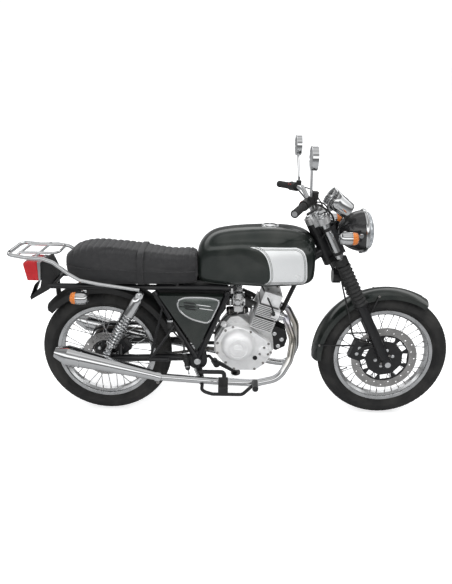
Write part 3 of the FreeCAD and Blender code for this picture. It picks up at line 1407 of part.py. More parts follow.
def stand_bracket():
    """Lug under the left side frame with the side stand's pivot bolt."""
    back = stand_axis * -mm.stand_radius * 5 / 2
    pivot = V(mm.pivot_ahead, mm.cradle_spacing, mm.pivot_up)
    down = (cradle_foot(1) - pivot).normalize()
    out = V(-down.z, 0, down.x)
    start = (cradle_foot(1) - down * mm.cradle_radius + out * (mm.cradle_radius + mm.fit_gap)
             - LEFT * mm.cradle_radius / 2)
    lug = rod(stand_pivot + back, stand_pivot, "stand_boss")
    arm = bent_tube([start, start + out * mm.stand_radius, stand_pivot + back * 2 / 3],
                    mm.cradle_radius * 4 / 7, mm.cradle_radius)
    bolt = rod(stand_pivot, stand_pivot + stand_axis * (mm.stand_radius * 2), "axle_radius")
    keep("stand_bracket", joined([lug, arm, bolt]))


# Chain, brakes and horn


def loop_outline(first, first_radius, second, second_radius):
    """Closed side-view loop round two circles."""
    across = second - first
    turn = math.atan2(across.z, across.x)
    open_angle = math.acos((first_radius - second_radius) / across.Length)
    ends = []
    for centre, radius in ((first, first_radius), (second, second_radius)):
        for side in (1, -1):
            angle = turn + side * open_angle
            ends.append(centre + V(math.cos(angle), 0, math.sin(angle)) * radius)
    back = first - V(math.cos(turn), 0, math.sin(turn)) * first_radius
    front = second + V(math.cos(turn), 0, math.sin(turn)) * second_radius
    return Part.Wire([line(ends[0], ends[2]), arc(ends[2], front, ends[3]),
                      line(ends[3], ends[1]), arc(ends[1], back, ends[0])])


def chain():
    """Drive chain as one closed band between the two sprockets."""
    left = LEFT * mm.sprocket_offset
    low = LEFT * -mm.chain_width / 2
    back = rear_axle + left + low
    front = V(mm.front_sprocket_ahead, mm.sprocket_offset - mm.chain_width / 2,
              mm.front_sprocket_up)
    inner = loop_outline(back, mm.sprocket_radius + 2 * mm.fit_gap, front,
                         mm.front_sprocket_radius)
    outer = loop_outline(back, mm.sprocket_radius + mm.chain_depth, front,
                         mm.front_sprocket_radius + mm.chain_depth)
    band = Part.Face(outer).extrude(LEFT * mm.chain_width)
    hole = Part.Face(inner).extrude(LEFT * mm.chain_width)
    sprocket_half = LEFT * mm.sprocket_wall / 2
    centre = V(front.x, mm.sprocket_offset, front.z)
    small = rod(centre - sprocket_half, centre + sprocket_half,
                "front_sprocket_radius")
    shaft = rod(V(front.x, mm.case_half_width * 2 / 3 + mm.fit_gap, front.z), centre,
                "axle_radius")
    keep("chain", joined([shaped(band.cut(hole)), small, shaft]))


def chain_guard():
    """Plate over the chain's upper run."""
    over = mm.sprocket_radius + mm.chain_depth + mm.plate_wall
    rear_top = rear_axle + V(0, 0, over)
    front_top = V(mm.shock_top_ahead + mm.chain_depth, 0, mm.front_sprocket_up
                  + mm.front_sprocket_radius + mm.chain_depth * 4)
    behind = rear_axle + V(-over, 0, over / 4)
    wall = UP * mm.guard_wall * 2
    outline = [behind, rear_axle + V(-over * 3 / 4, 0, over * 4 / 5), rear_top + wall * 2,
               front_top + wall * 2, front_top, rear_top,
               rear_axle + V(-over * 7 / 10, 0, over * 5 / 7),
               behind + AHEAD * mm.guard_wall * 2]
    guard = side_profile(outline, mm.chain_width)
    guard.Placement.Base = LEFT * (mm.sprocket_offset + mm.guard_wall * 2)
    arm_share = (front_top.x - mm.arm_radius - mm.pivot_ahead) / (rear_axle.x - mm.pivot_ahead)
    arm_top = (mm.pivot_up + (axle_up - mm.pivot_up) * arm_share + mm.arm_radius
               + mm.hanger_radius + mm.fit_gap)
    lug_foot = V(front_top.x - mm.arm_radius, guard.Placement.Base.y + mm.chain_width, arm_top)
    lug = [rod(lug_foot, V(lug_foot.x, lug_foot.y, front_top.z), "hanger_radius"),
           ball(lug_foot, "hanger_radius"),
           rod(lug_foot, V(lug_foot.x, mm.arm_spacing, arm_top), "hanger_radius")]
    keep("chain_guard", joined([guard] + lug))


def caliper(node, axle, disc_radius, angle, carrier_axis):
    """Caliper straddling its disc, with an arm square to the tube that carries it."""
    turn = FreeCAD.Rotation(LEFT, -angle)
    reach = value_of(disc_radius) - mm.disc_band / 3
    middle = axle + turn.multVec(V(reach, 0, 0)) - LEFT * mm.disc_offset
    centre = middle - LEFT * mm.caliper_gap * 3 / 2
    body = box(centre, "disc_band * 3 / 2", "disc_offset * 6 / 7", "disc_band * 5 / 2", turn)
    slot = box(middle - turn.multVec(V(mm.disc_band / 2, 0, 0)), "disc_band * 2",
               "disc_wall + 2 * caliper_gap", "disc_band * 4", turn)
    point, along, radius = carrier_axis
    start = centre - LEFT * mm.disc_offset / 4
    foot = point + along * (start - point).dot(along)
    toward = (foot - start).normalize()
    arm = rod(start, foot - toward * (radius + mm.fit_gap), "bar_radius")
    keep(node, less(joined([body, arm]), slot))


def calipers():
    leg = (front_axle - LEFT * mm.leg_spacing, fork_up, mm.slider_radius)
    caliper("front_caliper", front_axle, "front_disc_radius", mm.front_caliper_angle, leg)
    pivot = V(mm.pivot_ahead, -mm.arm_spacing, mm.pivot_up)
    arm_run = (rear_axle - LEFT * mm.arm_spacing - pivot).normalize()
    caliper("rear_caliper", rear_axle, "rear_disc_radius", mm.rear_caliper_angle,
            (pivot, arm_run, mm.arm_radius))


def horn():
    """Horn on a strap below the lower yoke, turning with the fork."""
    top = fork_point(mm.lower_yoke_at - mm.fit_gap, -mm.yoke_offset)
    centre = top - fork_up * mm.horn_radius * 2
    shell = rod(centre - AHEAD * mm.horn_radius / 2, centre + AHEAD * mm.horn_radius / 2,
                "horn_radius")
    strap = rod(centre, top, "hanger_radius")
    keep("horn", joined([shell, strap]))


# Build every sub-part

front_wheel()
rear_wheel()
fork_sliders()
fork_tubes()
gaiters()
yokes()
axle_bar("front_axle", front_axle, mm.disc_offset + mm.disc_wall,
         mm.leg_spacing - mm.slider_radius, mm.leg_spacing + mm.slider_radius)
front_mudguard()
headlamp()
headlamp_brackets()
clocks()
indicators()
handlebar()
grips()
hand_controls()
mirrors()
tank()
tank_cap()
seat()
frame_spine()
seat_rails()
side_frames()
crankcase()
engine_covers()
cylinder()
cylinder_head()
carburettors()
air_box()
exhausts()
swingarm()
pivot_bolt()
shocks()
axle_bar("rear_axle", rear_axle, mm.sprocket_offset + mm.disc_wall,
         mm.arm_spacing - mm.plate_wall, mm.arm_spacing + mm.plate_wall)
rear_mudguard()
tail_lamp()
plate_holder()
rack()
side_covers()
footpegs()
foot_levers()
side_stand()
stand_bracket()
chain()
chain_guard()
calipers()
horn()
doc.recompute()


# Lean the machine onto its stand and centre its box on the origin

stance = FreeCAD.Placement(V(), FreeCAD.Rotation(AHEAD, -mm.lean_angle))
for thing in pieces.values():
    thing.Placement = stance.multiply(thing.Placement)
doc.recompute()
extent = FreeCAD.BoundBox()
for thing in pieces.values():
    extent.add(thing.Shape.optimalBoundingBox())
centring = V(-extent.Center.x, -extent.Center.y, 0)
for thing in pieces.values():
    thing.Placement.Base = thing.Placement.Base + centring
doc.recompute()

for thing in doc.Objects:
    if "Invalid" in thing.State or "Error" in thing.State:
        raise RuntimeError(f"{thing.Label} failed: {thing.State}")
for node, thing in pieces.items():
    shape = thing.Shape
    if shape.isNull() or not shape.isValid() or not shape.Solids:
        raise RuntimeError(f"{node} has no sound shape")
for node, thing in pieces.items():
    thing.Shape.exportStep(f"parts/{node}.step")
print(f"{len(pieces)} sub-parts, box {extent}")
print("centring", centring)
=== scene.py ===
import json
import math

import bmesh
import bpy
from mathutils import Matrix, Vector
from mathutils.bvhtree import BVHTree


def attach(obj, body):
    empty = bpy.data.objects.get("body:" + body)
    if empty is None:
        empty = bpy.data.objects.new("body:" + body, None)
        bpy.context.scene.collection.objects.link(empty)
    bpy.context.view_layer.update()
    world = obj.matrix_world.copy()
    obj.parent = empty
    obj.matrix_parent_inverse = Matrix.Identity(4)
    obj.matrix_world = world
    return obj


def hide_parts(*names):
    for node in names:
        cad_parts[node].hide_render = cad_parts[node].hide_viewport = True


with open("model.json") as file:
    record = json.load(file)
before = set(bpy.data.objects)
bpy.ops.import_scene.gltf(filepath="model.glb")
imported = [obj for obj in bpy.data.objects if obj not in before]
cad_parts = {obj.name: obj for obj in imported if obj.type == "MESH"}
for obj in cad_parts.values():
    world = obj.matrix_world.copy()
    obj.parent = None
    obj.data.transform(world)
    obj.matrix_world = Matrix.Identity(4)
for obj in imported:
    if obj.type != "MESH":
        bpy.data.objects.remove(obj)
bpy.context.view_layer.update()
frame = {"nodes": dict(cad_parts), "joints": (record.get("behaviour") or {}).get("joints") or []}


def vec(ahead, left, up):
    return Vector([ahead, left, up])


def tilted(degrees):
    """Unit vector in the side view, raised from straight ahead."""
    turn = math.radians(degrees)
    return Vector([math.cos(turn), 0, math.sin(turn)])


# The machine is drawn upright in millimetres, X ahead, Y to the rider's left, Z up
# from the ground midway between the axles. STANCE leans it over on its side stand
# and puts it where the frame has it, in metres.
LEAN = math.radians(9)
RAKE = math.radians(27)
BARREL_LEAN = math.radians(18)
TREAD = 266.5
CROWN = 52.0
AXLE_UP = TREAD + CROWN / math.cos(LEAN)
FRONT = vec(682, 0, AXLE_UP)
REAR = vec(-682, 0, AXLE_UP)
FORK_UP = vec(-math.sin(RAKE), 0, math.cos(RAKE))
FORK_AHEAD = vec(math.cos(RAKE), 0, math.sin(RAKE))
X, Y, Z = Vector((1, 0, 0)), Vector((0, 1, 0)), Vector((0, 0, 1))
SIDES = (-1, 1)
BARREL_FOOT = vec(62, 0, 452)
PIVOT = (-228, 335)
FORK_HALF = 95
joints = {joint["name"]: joint for joint in frame["joints"]}
TILT = Matrix.Rotation(-LEAN, 4, "X")
front_place = Vector(joints["front_wheel_spin"]["pos_m"])
STANCE = Matrix.Translation(front_place - TILT @ (FRONT / 1000)) @ TILT @ Matrix.Scale(0.001, 4)
UPRIGHT = STANCE.inverted()


def fork(along, ahead=0.0, left=0.0):
    """Point in the fork's own directions from the front axle."""
    return FRONT + FORK_UP * along + FORK_AHEAD * ahead + Y * left


def put(name, data):
    """New object in the scene."""
    thing = bpy.data.objects.new(name, data)
    bpy.context.scene.collection.objects.link(thing)
    return thing


def make_camera():
    """Camera fitted to the wheels of the photograph."""
    azimuth, elevation, roll = math.radians(-0.22), math.radians(19.65), math.radians(0.82)
    focal_px, picture_height, centre_row = 564.5, 584, 290
    look = vec(math.sin(azimuth) * math.cos(elevation), math.cos(azimuth) * math.cos(elevation),
               -math.sin(elevation))
    right = vec(math.cos(azimuth), -math.sin(azimuth), 0)
    up = right.cross(look)
    level = math.cos(roll) * right + math.sin(roll) * up
    above = math.cos(roll) * up - math.sin(roll) * right
    lens = bpy.data.cameras.new("camera")
    lens.sensor_fit = "VERTICAL"
    lens.sensor_height = 36
    lens.lens = lens.sensor_height * focal_px / picture_height
    lens.shift_y = (centre_row - picture_height / 2) / picture_height
    camera = put("camera", lens)
    eye = vec(-88, -2556, 1556)
    turn = TILT.to_3x3()
    axes = Matrix([turn @ level, turn @ above, turn @ -look]).transposed()
    camera.matrix_world = Matrix.Translation(STANCE @ eye) @ axes.to_4x4()
    bpy.context.scene.camera = camera


make_camera()


# Materials: shader maths is written as expressions on sockets


def forward(operation):
    """Method that puts its own socket first in a Math node."""
    return lambda self, other: self.math(operation, self, other)


def reflected(operation):
    """Method that puts the other value first, for number - socket."""
    return lambda self, other: self.math(operation, other, self)


class Shade:
    """A socket of a shader tree; sums and products on it add Math nodes."""

    def __init__(self, tree, socket):
        self.tree, self.socket = tree, socket

    def math(self, operation, first, second=None):
        return self.tree.node("ShaderNodeMath", {"operation": operation}, first, second)

    __add__, __radd__ = forward("ADD"), reflected("ADD")
    __sub__, __rsub__ = forward("SUBTRACT"), reflected("SUBTRACT")
    __mul__, __rmul__ = forward("MULTIPLY"), reflected("MULTIPLY")
    __truediv__, __pow__ = forward("DIVIDE"), forward("POWER")
    over, most = forward("GREATER_THAN"), forward("MAXIMUM")

    def __abs__(self):
        return self.math("ABSOLUTE", self)

    def sine(self):
        return self.math("SINE", self)


class Finish:
    """A material, or the world, and its node tree."""

    def __init__(self, name, world=False):
        self.material = (bpy.data.worlds if world else bpy.data.materials).new(name)
        self.material.use_nodes = True
        self.tree = self.material.node_tree
        self.shader = self.tree.nodes["Background" if world else "Principled BSDF"]
        self.place = None

    def node(self, kind, settings, *inputs, out=0, **named):
        """Add a node: its settings first, then the values or links of its sockets."""
        made = self.tree.nodes.new(kind)
        stops = settings.pop("stops", None)
        for key, value in settings.items():
            setattr(made, key, value)
        if stops:
            ramp = made.color_ramp
            for _ in stops[2:]:
                ramp.elements.new(0.5)
            for element, (place, colour) in zip(ramp.elements, stops):
                element.position = place
                element.color = (*colour, 1)
        for index, value in enumerate(inputs):
            self.link(made.inputs[index], value)
        for key, value in named.items():
            self.link(made.inputs[key.replace("_", " ")], value)
        return Shade(self, made.outputs[out])

    def link(self, socket, value):
        if isinstance(value, Shade):
            self.tree.links.new(value.socket, socket)
        elif value is not None:
            socket.default_value = value

    def upright(self):
        """Object coordinates turned upright, in metres from the ground between the axles."""
        if self.place is None:
            spot = self.node("ShaderNodeTexCoord", {}, out=3)
            origin = STANCE.to_translation()
            moved = self.node("ShaderNodeVectorMath", {"operation": "SUBTRACT"}, spot,
                              tuple(origin))
            self.place = self.node("ShaderNodeMapping", {}, moved, None, (LEAN, 0, 0))
        return self.place

    def axes(self, place=None):
        split = self.node("ShaderNodeSeparateXYZ", {}, place or self.upright())
        outputs = split.socket.node.outputs
        return [Shade(self, outputs[index]) for index in range(3)]

    def noise(self, scale, detail=3.0, rough=0.55):
        return self.node("ShaderNodeTexNoise", {}, self.upright(), None, scale, detail, rough)

    def cells(self, scale, feature="F1"):
        return self.node("ShaderNodeTexVoronoi", {"feature": feature}, self.upright(), None, scale)

    def spread(self, value, low, high, to_low=0.0, to_high=1.0):
        """Value between two limits, stretched to two others and held there."""
        return self.node("ShaderNodeMapRange", {"clamp": True}, value, low, high, to_low, to_high)

    def blend(self, share, first, second):
        """Colour between two colours."""
        made = self.tree.nodes.new("ShaderNodeMix")
        made.data_type = "RGBA"
        self.link(made.inputs["Factor"], share)
        for key, colour in ((6, first), (7, second)):
            self.link(made.inputs[key], (*colour, 1) if isinstance(colour, tuple) else colour)
        return Shade(self, made.outputs[2])

    def worn(self, wear, smooth, rough):
        """Roughness that follows a noise between two values."""
        return self.spread(wear, 0.3, 0.7, smooth, rough)

    def raised(self, *layers):
        """Bumps, one over the other: pairs of height and depth in metres."""
        below = None
        for height, depth in layers:
            made = self.tree.nodes.new("ShaderNodeBump")
            made.inputs["Strength"].default_value = 1.0
            made.inputs["Distance"].default_value = depth
            self.link(made.inputs["Height"], height)
            self.link(made.inputs["Normal"], below)
            below = Shade(self, made.outputs[0])
        return below

    def grain(self, scale, depth, detail=2.0):
        """One bump of fine noise."""
        return self.raised((self.noise(scale, detail), depth))

    def finish(self, **sockets):
        for key, value in sockets.items():
            name = key.replace("_", " ")
            if isinstance(value, tuple) and len(value) == 3:
                value = (*value, 1)
            self.link(self.shader.inputs[name], value)
        return self.material


def grey(level):
    return (level, level, level)


def paint_finish(name, deep, light, flake):
    """Metallic lacquer: fine flake, faint unevenness and patches of dust."""
    look = Finish(name)
    sparkle = look.noise(2600, 1.0)
    cloud = look.noise(6, 2.0)
    colour = look.blend(look.spread(sparkle, 0.42, 0.62), deep, light)
    dusty = look.blend(look.spread(cloud, 0.5, 0.8, 0, 0.12), colour, (0.25, 0.24, 0.22))
    peel = look.noise(220, 2.0)
    return look.finish(Base_Color=dusty, Metallic=flake, Coat_Weight=1.0, Coat_Roughness=0.04,
                       Roughness=look.worn(cloud, 0.26, 0.38), Normal=look.raised((peel, 0.00005)))


def satin_black_finish():
    look = Finish("satin_black_enamel")
    cloud = look.noise(9, 3.0)
    chips = look.cells(90)
    dust = look.spread(cloud, 0.5, 0.75, 0, 0.2)
    colour = look.blend(dust, (0.006, 0.006, 0.007), (0.035, 0.033, 0.03))
    worn = look.blend(look.spread(chips, 0.0, 0.045, 1, 0), colour, (0.05, 0.047, 0.043))
    return look.finish(Base_Color=worn, Roughness=look.worn(cloud, 0.28, 0.45), Coat_Weight=0.35,
                       Coat_Roughness=0.2, Normal=look.grain(400, 0.00006))


def chrome_finish(name="chrome_plate", tint=(0.86, 0.87, 0.88), low=0.04, high=0.13):
    look = Finish(name)
    smear = look.noise(14, 4.0)
    pits = look.cells(420)
    colour = look.blend(look.spread(pits, 0.0, 0.06, 0.5, 0), tint, (0.35, 0.31, 0.27))
    return look.finish(Base_Color=colour, Metallic=1.0,
                       Roughness=look.spread(smear, 0.35, 0.75, low, high),
                       Normal=look.grain(60, 0.00003))


def pipe_finish():
    """Header pipe chrome, straw and blue where it leaves the head."""
    look = Finish("exhaust_chrome")
    ahead, _, up = look.axes()
    cooled = look.spread(look.noise(30, 3.0) * 0.03 + 0.52 - up, 0.0, 0.26)
    near = ahead.over(0.1)
    heat = look.node("ShaderNodeValToRGB", {"stops": [
        (0.0, (0.58, 0.58, 0.64)), (0.12, (0.68, 0.64, 0.64)), (0.3, (0.8, 0.75, 0.66)),
        (0.6, (0.85, 0.82, 0.76)), (1.0, (0.86, 0.87, 0.88))]}, cooled.most(1 - near))
    return look.finish(Base_Color=heat, Metallic=1.0,
                       Roughness=look.spread(look.noise(18, 4.0), 0.35, 0.75, 0.05, 0.17),
                       Normal=look.grain(70, 0.00003))


def cast_alloy_finish(name, low, high, grain, shine=0.85):
    """Cast aluminium: fine sand grain, dulled and stained in patches."""
    look = Finish(name)
    sand = look.noise(grain, 4.0, 0.65)
    stain = look.noise(16, 4.0)
    colour = look.blend(look.spread(stain, 0.42, 0.72), grey(high), grey(low))
    grimy = look.blend(look.spread(look.noise(5, 3.0), 0.55, 0.8, 0, 0.5), colour,
                       (low * 0.8, low * 0.74, low * 0.66))
    return look.finish(Base_Color=grimy, Metallic=shine, Roughness=look.worn(stain, 0.34, 0.52),
                       Normal=look.raised((sand, 0.00022)))


def fin_finish():
    """Cooling fins with bright machined edges, and painted shade that darkens the gaps between
    them.
    """
    look = Finish("cooling_fin_alloy")
    ahead, left, up = look.axes()
    ahead, up = ahead - BARREL_FOOT.x / 1000, up - BARREL_FOOT.z / 1000
    across = abs(ahead * math.cos(BARREL_LEAN) - up * math.sin(BARREL_LEAN))
    along = ahead * math.sin(BARREL_LEAN) + up * math.cos(BARREL_LEAN)
    # Painted shade: fin faces inside the barrel's outline go near black, as shade falls between
    # the fins.
    inside = look.spread((across - 0.048).most(abs(left) - 0.086).most(along - 0.154), -0.004,
                         0.003)
    stain = look.noise(18, 4.0)
    bright = look.blend(look.spread(stain, 0.4, 0.75), grey(0.94), grey(0.74))
    # grey(0.05) is the painted shade between the fins; the outer edges keep the alloy colour.
    return look.finish(Base_Color=look.blend(inside, grey(0.05), bright), Metallic=0.45,
                       Roughness=look.worn(stain, 0.3, 0.46),
                       Normal=look.raised((look.noise(420, 4.0, 0.65), 0.0002)))


def yoke_finish():
    """Polished upper yoke over a black lower one and stem."""
    look = Finish("yoke_alloy")
    ahead, _, up = look.axes()
    along = up * math.cos(RAKE) - ahead * math.sin(RAKE)
    upper = look.spread(along, 0.66, 0.665)
    stain = look.noise(22, 4.0)
    alloy = look.blend(look.spread(stain, 0.45, 0.75), grey(0.8), grey(0.6))
    return look.finish(Base_Color=look.blend(upper, grey(0.015), alloy), Metallic=upper * 0.9,
                       Roughness=look.worn(stain, 0.26, 0.4), Normal=look.grain(700, 0.00006))


def turned_finish(name, centre, tint, pitch=1500, low=0.16, high=0.3):
    """Metal with fine turning marks round a wheel's axle."""
    look = Finish(name)
    ahead, _, up = look.axes()
    reach = ((ahead - centre[0] / 1000) ** 2 + (up - centre[2] / 1000) ** 2) ** 0.5
    rings = (reach * (pitch * 2 * math.pi) + look.noise(12, 2.0) * 3).sine()
    stain = look.noise(25, 4.0)
    colour = look.blend(look.spread(stain, 0.4, 0.75, 0, 0.5), tint,
                        tuple(value * 0.55 for value in tint))
    return look.finish(Base_Color=colour, Metallic=1.0, Roughness=look.worn(stain, low, high),
                       Normal=look.raised((rings, 0.00002)))


def patched_finish(name, noise, tints, fade, rough, grain, **sockets):
    """Plain material with patches of a second tint, which follow its roughness."""
    look = Finish(name)
    patch = look.noise(*noise)
    share = look.spread(patch, fade[0], fade[1], 0, fade[2])
    return look.finish(Base_Color=look.blend(share, *tints), Roughness=look.worn(patch, *rough),
                       Normal=look.grain(*grain), **sockets)


def steel_finish(name, tint):
    return patched_finish(name, (60, 4.0), (tint, (0.13, 0.11, 0.09)), (0.45, 0.75, 1),
                          (0.3, 0.55), (500, 0.00006), Metallic=0.9)


def plastic_finish(name, tint, rough=0.5):
    hazy = tuple(value * 1.8 + 0.012 for value in tint)
    return patched_finish(name, (20, 3.0), (tint, hazy), (0.45, 0.8, 0.4),
                          (rough - 0.06, rough + 0.08), (1100, 0.00006, 1.0))


def seat_finish():
    """Vinyl with a pebbled grain, a little polished where it is sat on."""
    look = Finish("seat_vinyl")
    pebbles = look.cells(620, "SMOOTH_F1")
    creases = look.noise(45, 4.0)
    ahead = look.axes()[0]
    worn = look.spread(abs(ahead + 0.42), 0.05, 0.32, 1, 0)
    colour = look.blend(look.spread(creases, 0.45, 0.8, 0, 0.4), (0.013, 0.013, 0.014),
                        (0.035, 0.034, 0.034))
    return look.finish(Base_Color=colour, Roughness=0.56 - worn * 0.12 + creases * 0.08,
                       Sheen_Weight=0.12, Sheen_Roughness=0.5,
                       Normal=look.raised((creases, 0.0007), (pebbles, 0.00035)))


def lens_finish(name, deep, bright, pitch):
    """Moulded lens with fine ribs inside it."""
    look = Finish(name)
    _, left, up = look.axes()
    wave = 2000 * math.pi / pitch
    ribs = (up * wave).sine() * (left * wave).sine()
    colour = look.blend(look.spread(ribs, -1, 1), deep, bright)
    return look.finish(Base_Color=colour, Roughness=0.12, Coat_Weight=1.0, Coat_Roughness=0.03,
                       Normal=look.raised((ribs, 0.0006)))


def glass_finish():
    """Headlamp glass over its fluted reflector."""
    look = Finish("headlamp_glass")
    _, left, up = look.axes()
    flutes = (left * (2000 * math.pi / 9)).sine()
    bars = (up * (2000 * math.pi / 32)).sine()
    colour = look.blend(look.spread(flutes + bars, -2, 2), (0.42, 0.45, 0.48),
                        (0.86, 0.89, 0.92))
    return look.finish(Base_Color=colour, Metallic=0.55, Roughness=0.1, Coat_Weight=1.0,
                       Coat_Roughness=0.02, Normal=look.raised((flutes, 0.0012), (bars, 0.0008)))


def mirror_finish():
    look = Finish("mirror_glass")
    smear = look.noise(25, 4.0)
    return look.finish(Base_Color=look.blend(look.spread(smear, 0.5, 0.8, 0, 0.3),
                                             (0.9, 0.91, 0.92), (0.7, 0.71, 0.72)),
                       Metallic=1.0, Roughness=look.spread(smear, 0.4, 0.8, 0.01, 0.09))


PAINT = paint_finish("grey_green_lacquer", (0.006, 0.009, 0.008), (0.022, 0.031, 0.026), 0.5)
BADGE = paint_finish("badge_lacquer", (0.05, 0.062, 0.056), (0.13, 0.15, 0.14), 0.6)
SILVER = paint_finish("silver_lacquer", (0.7, 0.71, 0.71), (0.88, 0.89, 0.89), 0.35)
STRIPE = paint_finish("pale_enamel", (0.62, 0.62, 0.6), (0.75, 0.75, 0.73), 0.1)
DARK_STRIPE = paint_finish("stripe_enamel", (0.03, 0.035, 0.033), (0.06, 0.07, 0.065), 0.2)
BOWL = paint_finish("black_gloss_enamel", (0.01, 0.01, 0.011), (0.018, 0.018, 0.019), 0.0)
BLACK = satin_black_finish()
CHROME = chrome_finish()
PIPE = pipe_finish()
CASE = cast_alloy_finish("cast_engine_alloy", 0.55, 0.8, 520, 0.6)
POLISHED = cast_alloy_finish("polished_cover_alloy", 0.84, 0.96, 900, 0.5)
FIN_ALLOY = fin_finish()
RIM_FRONT = turned_finish("front_rim_alloy", FRONT, (0.78, 0.79, 0.8))
RIM_REAR = turned_finish("rear_rim_alloy", REAR, (0.78, 0.79, 0.8))
DISC_FRONT = turned_finish("front_disc_steel", FRONT, (0.55, 0.54, 0.53), 700, 0.2, 0.36)
DISC_REAR = turned_finish("rear_disc_steel", REAR, (0.55, 0.54, 0.53), 700, 0.2, 0.36)
STEEL = steel_finish("dull_steel", (0.42, 0.41, 0.4))
YOKE = yoke_finish()
CHAIN_STEEL = steel_finish("oiled_chain_steel", (0.2, 0.19, 0.18))
TYRE = patched_finish("tyre_rubber", (11, 4.0), ((0.013, 0.013, 0.013), (0.05, 0.048, 0.045)),
                      (0.42, 0.75, 0.6), (0.62, 0.85), (700, 0.00012), Specular_IOR_Level=0.4)
RUBBER = patched_finish("black_rubber", (35, 3.0), (grey(0.016), grey(0.016 * 3)),
                        (0.45, 0.8, 0.5), (0.5, 0.72), (900, 0.00008, 1.0))
VINYL = seat_finish()
PLASTIC = plastic_finish("black_plastic", (0.012, 0.012, 0.012))
DIAL = plastic_finish("dial_black", (0.006, 0.006, 0.007), 0.3)
RED_BUTTON = plastic_finish("red_switch", (0.35, 0.015, 0.012), 0.4)
RED_LENS = lens_finish("red_lens", (0.34, 0.002, 0.006), (0.62, 0.008, 0.014), 4)
ORANGE_LENS = lens_finish("orange_lens", (0.5, 0.11, 0.015), (0.72, 0.23, 0.03), 4)
GLASS = glass_finish()
MIRROR = mirror_finish()

NODE_FINISH = {node: finish for finish, nodes in (
    (BLACK, "front_hub rear_hub fork_sliders headlamp_brackets frame_spine seat_rails "
            "side_frames swingarm footpegs foot_levers side_stand stand_bracket chain_guard "
            "front_caliper rear_caliper horn"),
    (CHROME, "fork_tubes front_axle headlamp clocks front_indicators rear_indicators "
             "handlebar mirrors tank_cap shocks rack"),
    (PAINT, "front_mudguard tank side_covers"),
    (CASE, "crankcase carburettors"), (POLISHED, "clutch_cover alternator_cover"),
    (FIN_ALLOY, "cylinder cylinder_head"), (PIPE, "exhaust_right exhaust_left"),
    (PLASTIC, "hand_controls air_box rear_mudguard plate_holder"),
    (STEEL, "rear_axle pivot_bolt"), (CHAIN_STEEL, "chain"), (RED_LENS, "tail_lamp"),
    (TYRE, "front_tyre rear_tyre"), (RUBBER, "gaiters grips"), (VINYL, "seat"), (YOKE, "yokes"),
    (RIM_FRONT, "front_wire_wheel"), (RIM_REAR, "rear_wire_wheel"),
    (DISC_FRONT, "front_disc"), (DISC_REAR, "rear_disc")) for node in nodes.split()}
SLOTS = {finish.name: slot for slot, finishes in (
    ("paint", (PAINT, BADGE, SILVER, DARK_STRIPE)), ("tyre_rubber", (TYRE,)),
    ("bright_chrome", (CHROME, MIRROR, GLASS, STRIPE)), ("frame_black", (BLACK, BOWL)),
    ("cast_alloy", (CASE, POLISHED)), ("steel", (STEEL, CHAIN_STEEL)),
    ("soft_rubber", (RUBBER,)), ("seat_cover", (VINYL,)), ("lens_red", (RED_LENS, ORANGE_LENS)),
    ("black_plastic", (PLASTIC, DIAL, RED_BUTTON))) for finish in finishes}
for node_name, thing in frame["nodes"].items():
    finish = NODE_FINISH[node_name]
    if not thing.data.materials:
        thing.data.materials.append(finish)
    for index in range(len(thing.data.materials)):
        thing.data.materials[index] = finish


# Drawing tools: every mesh is drawn upright in millimetres


def turn_to(direction, side=X):
    """Rotation that takes local Z along a direction, with local X as near a side as it can."""
    up = direction.normalized()
    first = side - up * side.dot(up)
    if first.length < 1e-6:
        first = Y - up * Y.dot(up)
    first.normalize()
    return Matrix([first, up.cross(first), up]).transposed()


def flowing(points, steps=8):
    """Smooth line through points, as a cable lies."""
    points = [Vector(point) for point in points]
    ends = [points[0] * 2 - points[1], *points, points[-1] * 2 - points[-2]]
    line = []
    for a, b, c, d in zip(ends, ends[1:], ends[2:], ends[3:]):
        for step in range(steps):
            t = step / steps
            line.append((b * 2 + (c - a) * t + (a * 2 - b * 5 + c * 4 - d) * t ** 2
                         + (b * 3 - a - c * 3 + d) * t ** 3) / 2)
    return line + [points[-1]]


def turns(count):
    """Angles of even steps round a circle."""
    return [2 * math.pi * step / count for step in range(count)]


def quads(draft, low, high, closed=True):
    """Faces between two rows of corners, which are rings where closed."""
    count = len(low)
    for index in range(count if closed else count - 1):
        after = (index + 1) % count
        draft.faces.new((low[index], low[after], high[after], high[index]))


def tube(draft, line, radius, sides=16, closed=False, side=X):
    """Round tube along a line; radius is one number or one for each point."""
    count = len(line)
    radii = radius if isinstance(radius, list) else [radius] * count
    first, rings = None, []
    for index, point in enumerate(line):
        ahead = line[(index + 1) % count] if closed or index + 1 < count else point
        behind = line[index - 1] if closed or index else point
        heading = (ahead - behind).normalized()
        if first is None:
            first = turn_to(heading, side).col[0].copy()
        first = (first - heading * first.dot(heading)).normalized()
        second = heading.cross(first)
        rings.append([draft.verts.new(
            point + (first * math.cos(angle) + second * math.sin(angle)) * radii[index])
            for angle in turns(sides)])
    for low, high in zip(rings, rings[1:]):
        quads(draft, low, high)
    if closed:
        quads(draft, rings[-1], rings[0])
    else:
        draft.faces.new(list(reversed(rings[0])))
        draft.faces.new(rings[-1])


def hose(draft, points, radius, sides, steps=8):
    """Tube on a smooth line through points."""
    line = flowing(points, steps)
    tube(draft, line, radius, sides)


def circles(draft, profile, start, direction, sides):
    """Ring of corners for each (radius, height) pair, one corner where there is no radius."""
    turn = turn_to(direction)
    return [[draft.verts.new(Vector(start) + turn @ vec(radius * math.cos(angle), radius
                                                        * math.sin(angle), height))
             for angle in (turns(sides) if radius > 1e-6 else [0])] for radius, height in profile]


def lathe(draft, profile, start, direction, sides=48):
    """Turned solid from (radius, height) pairs; the first and last have no radius."""
    rings = circles(draft, profile, start, direction, sides)
    for low, high in zip(rings, rings[1:]):
        if len(low) == len(high):
            quads(draft, low, high)
            continue
        for step in range(sides):
            after = (step + 1) % sides
            draft.faces.new((low[0], high[after], high[step]) if len(low) == 1
                            else (low[step], low[after], high[0]))


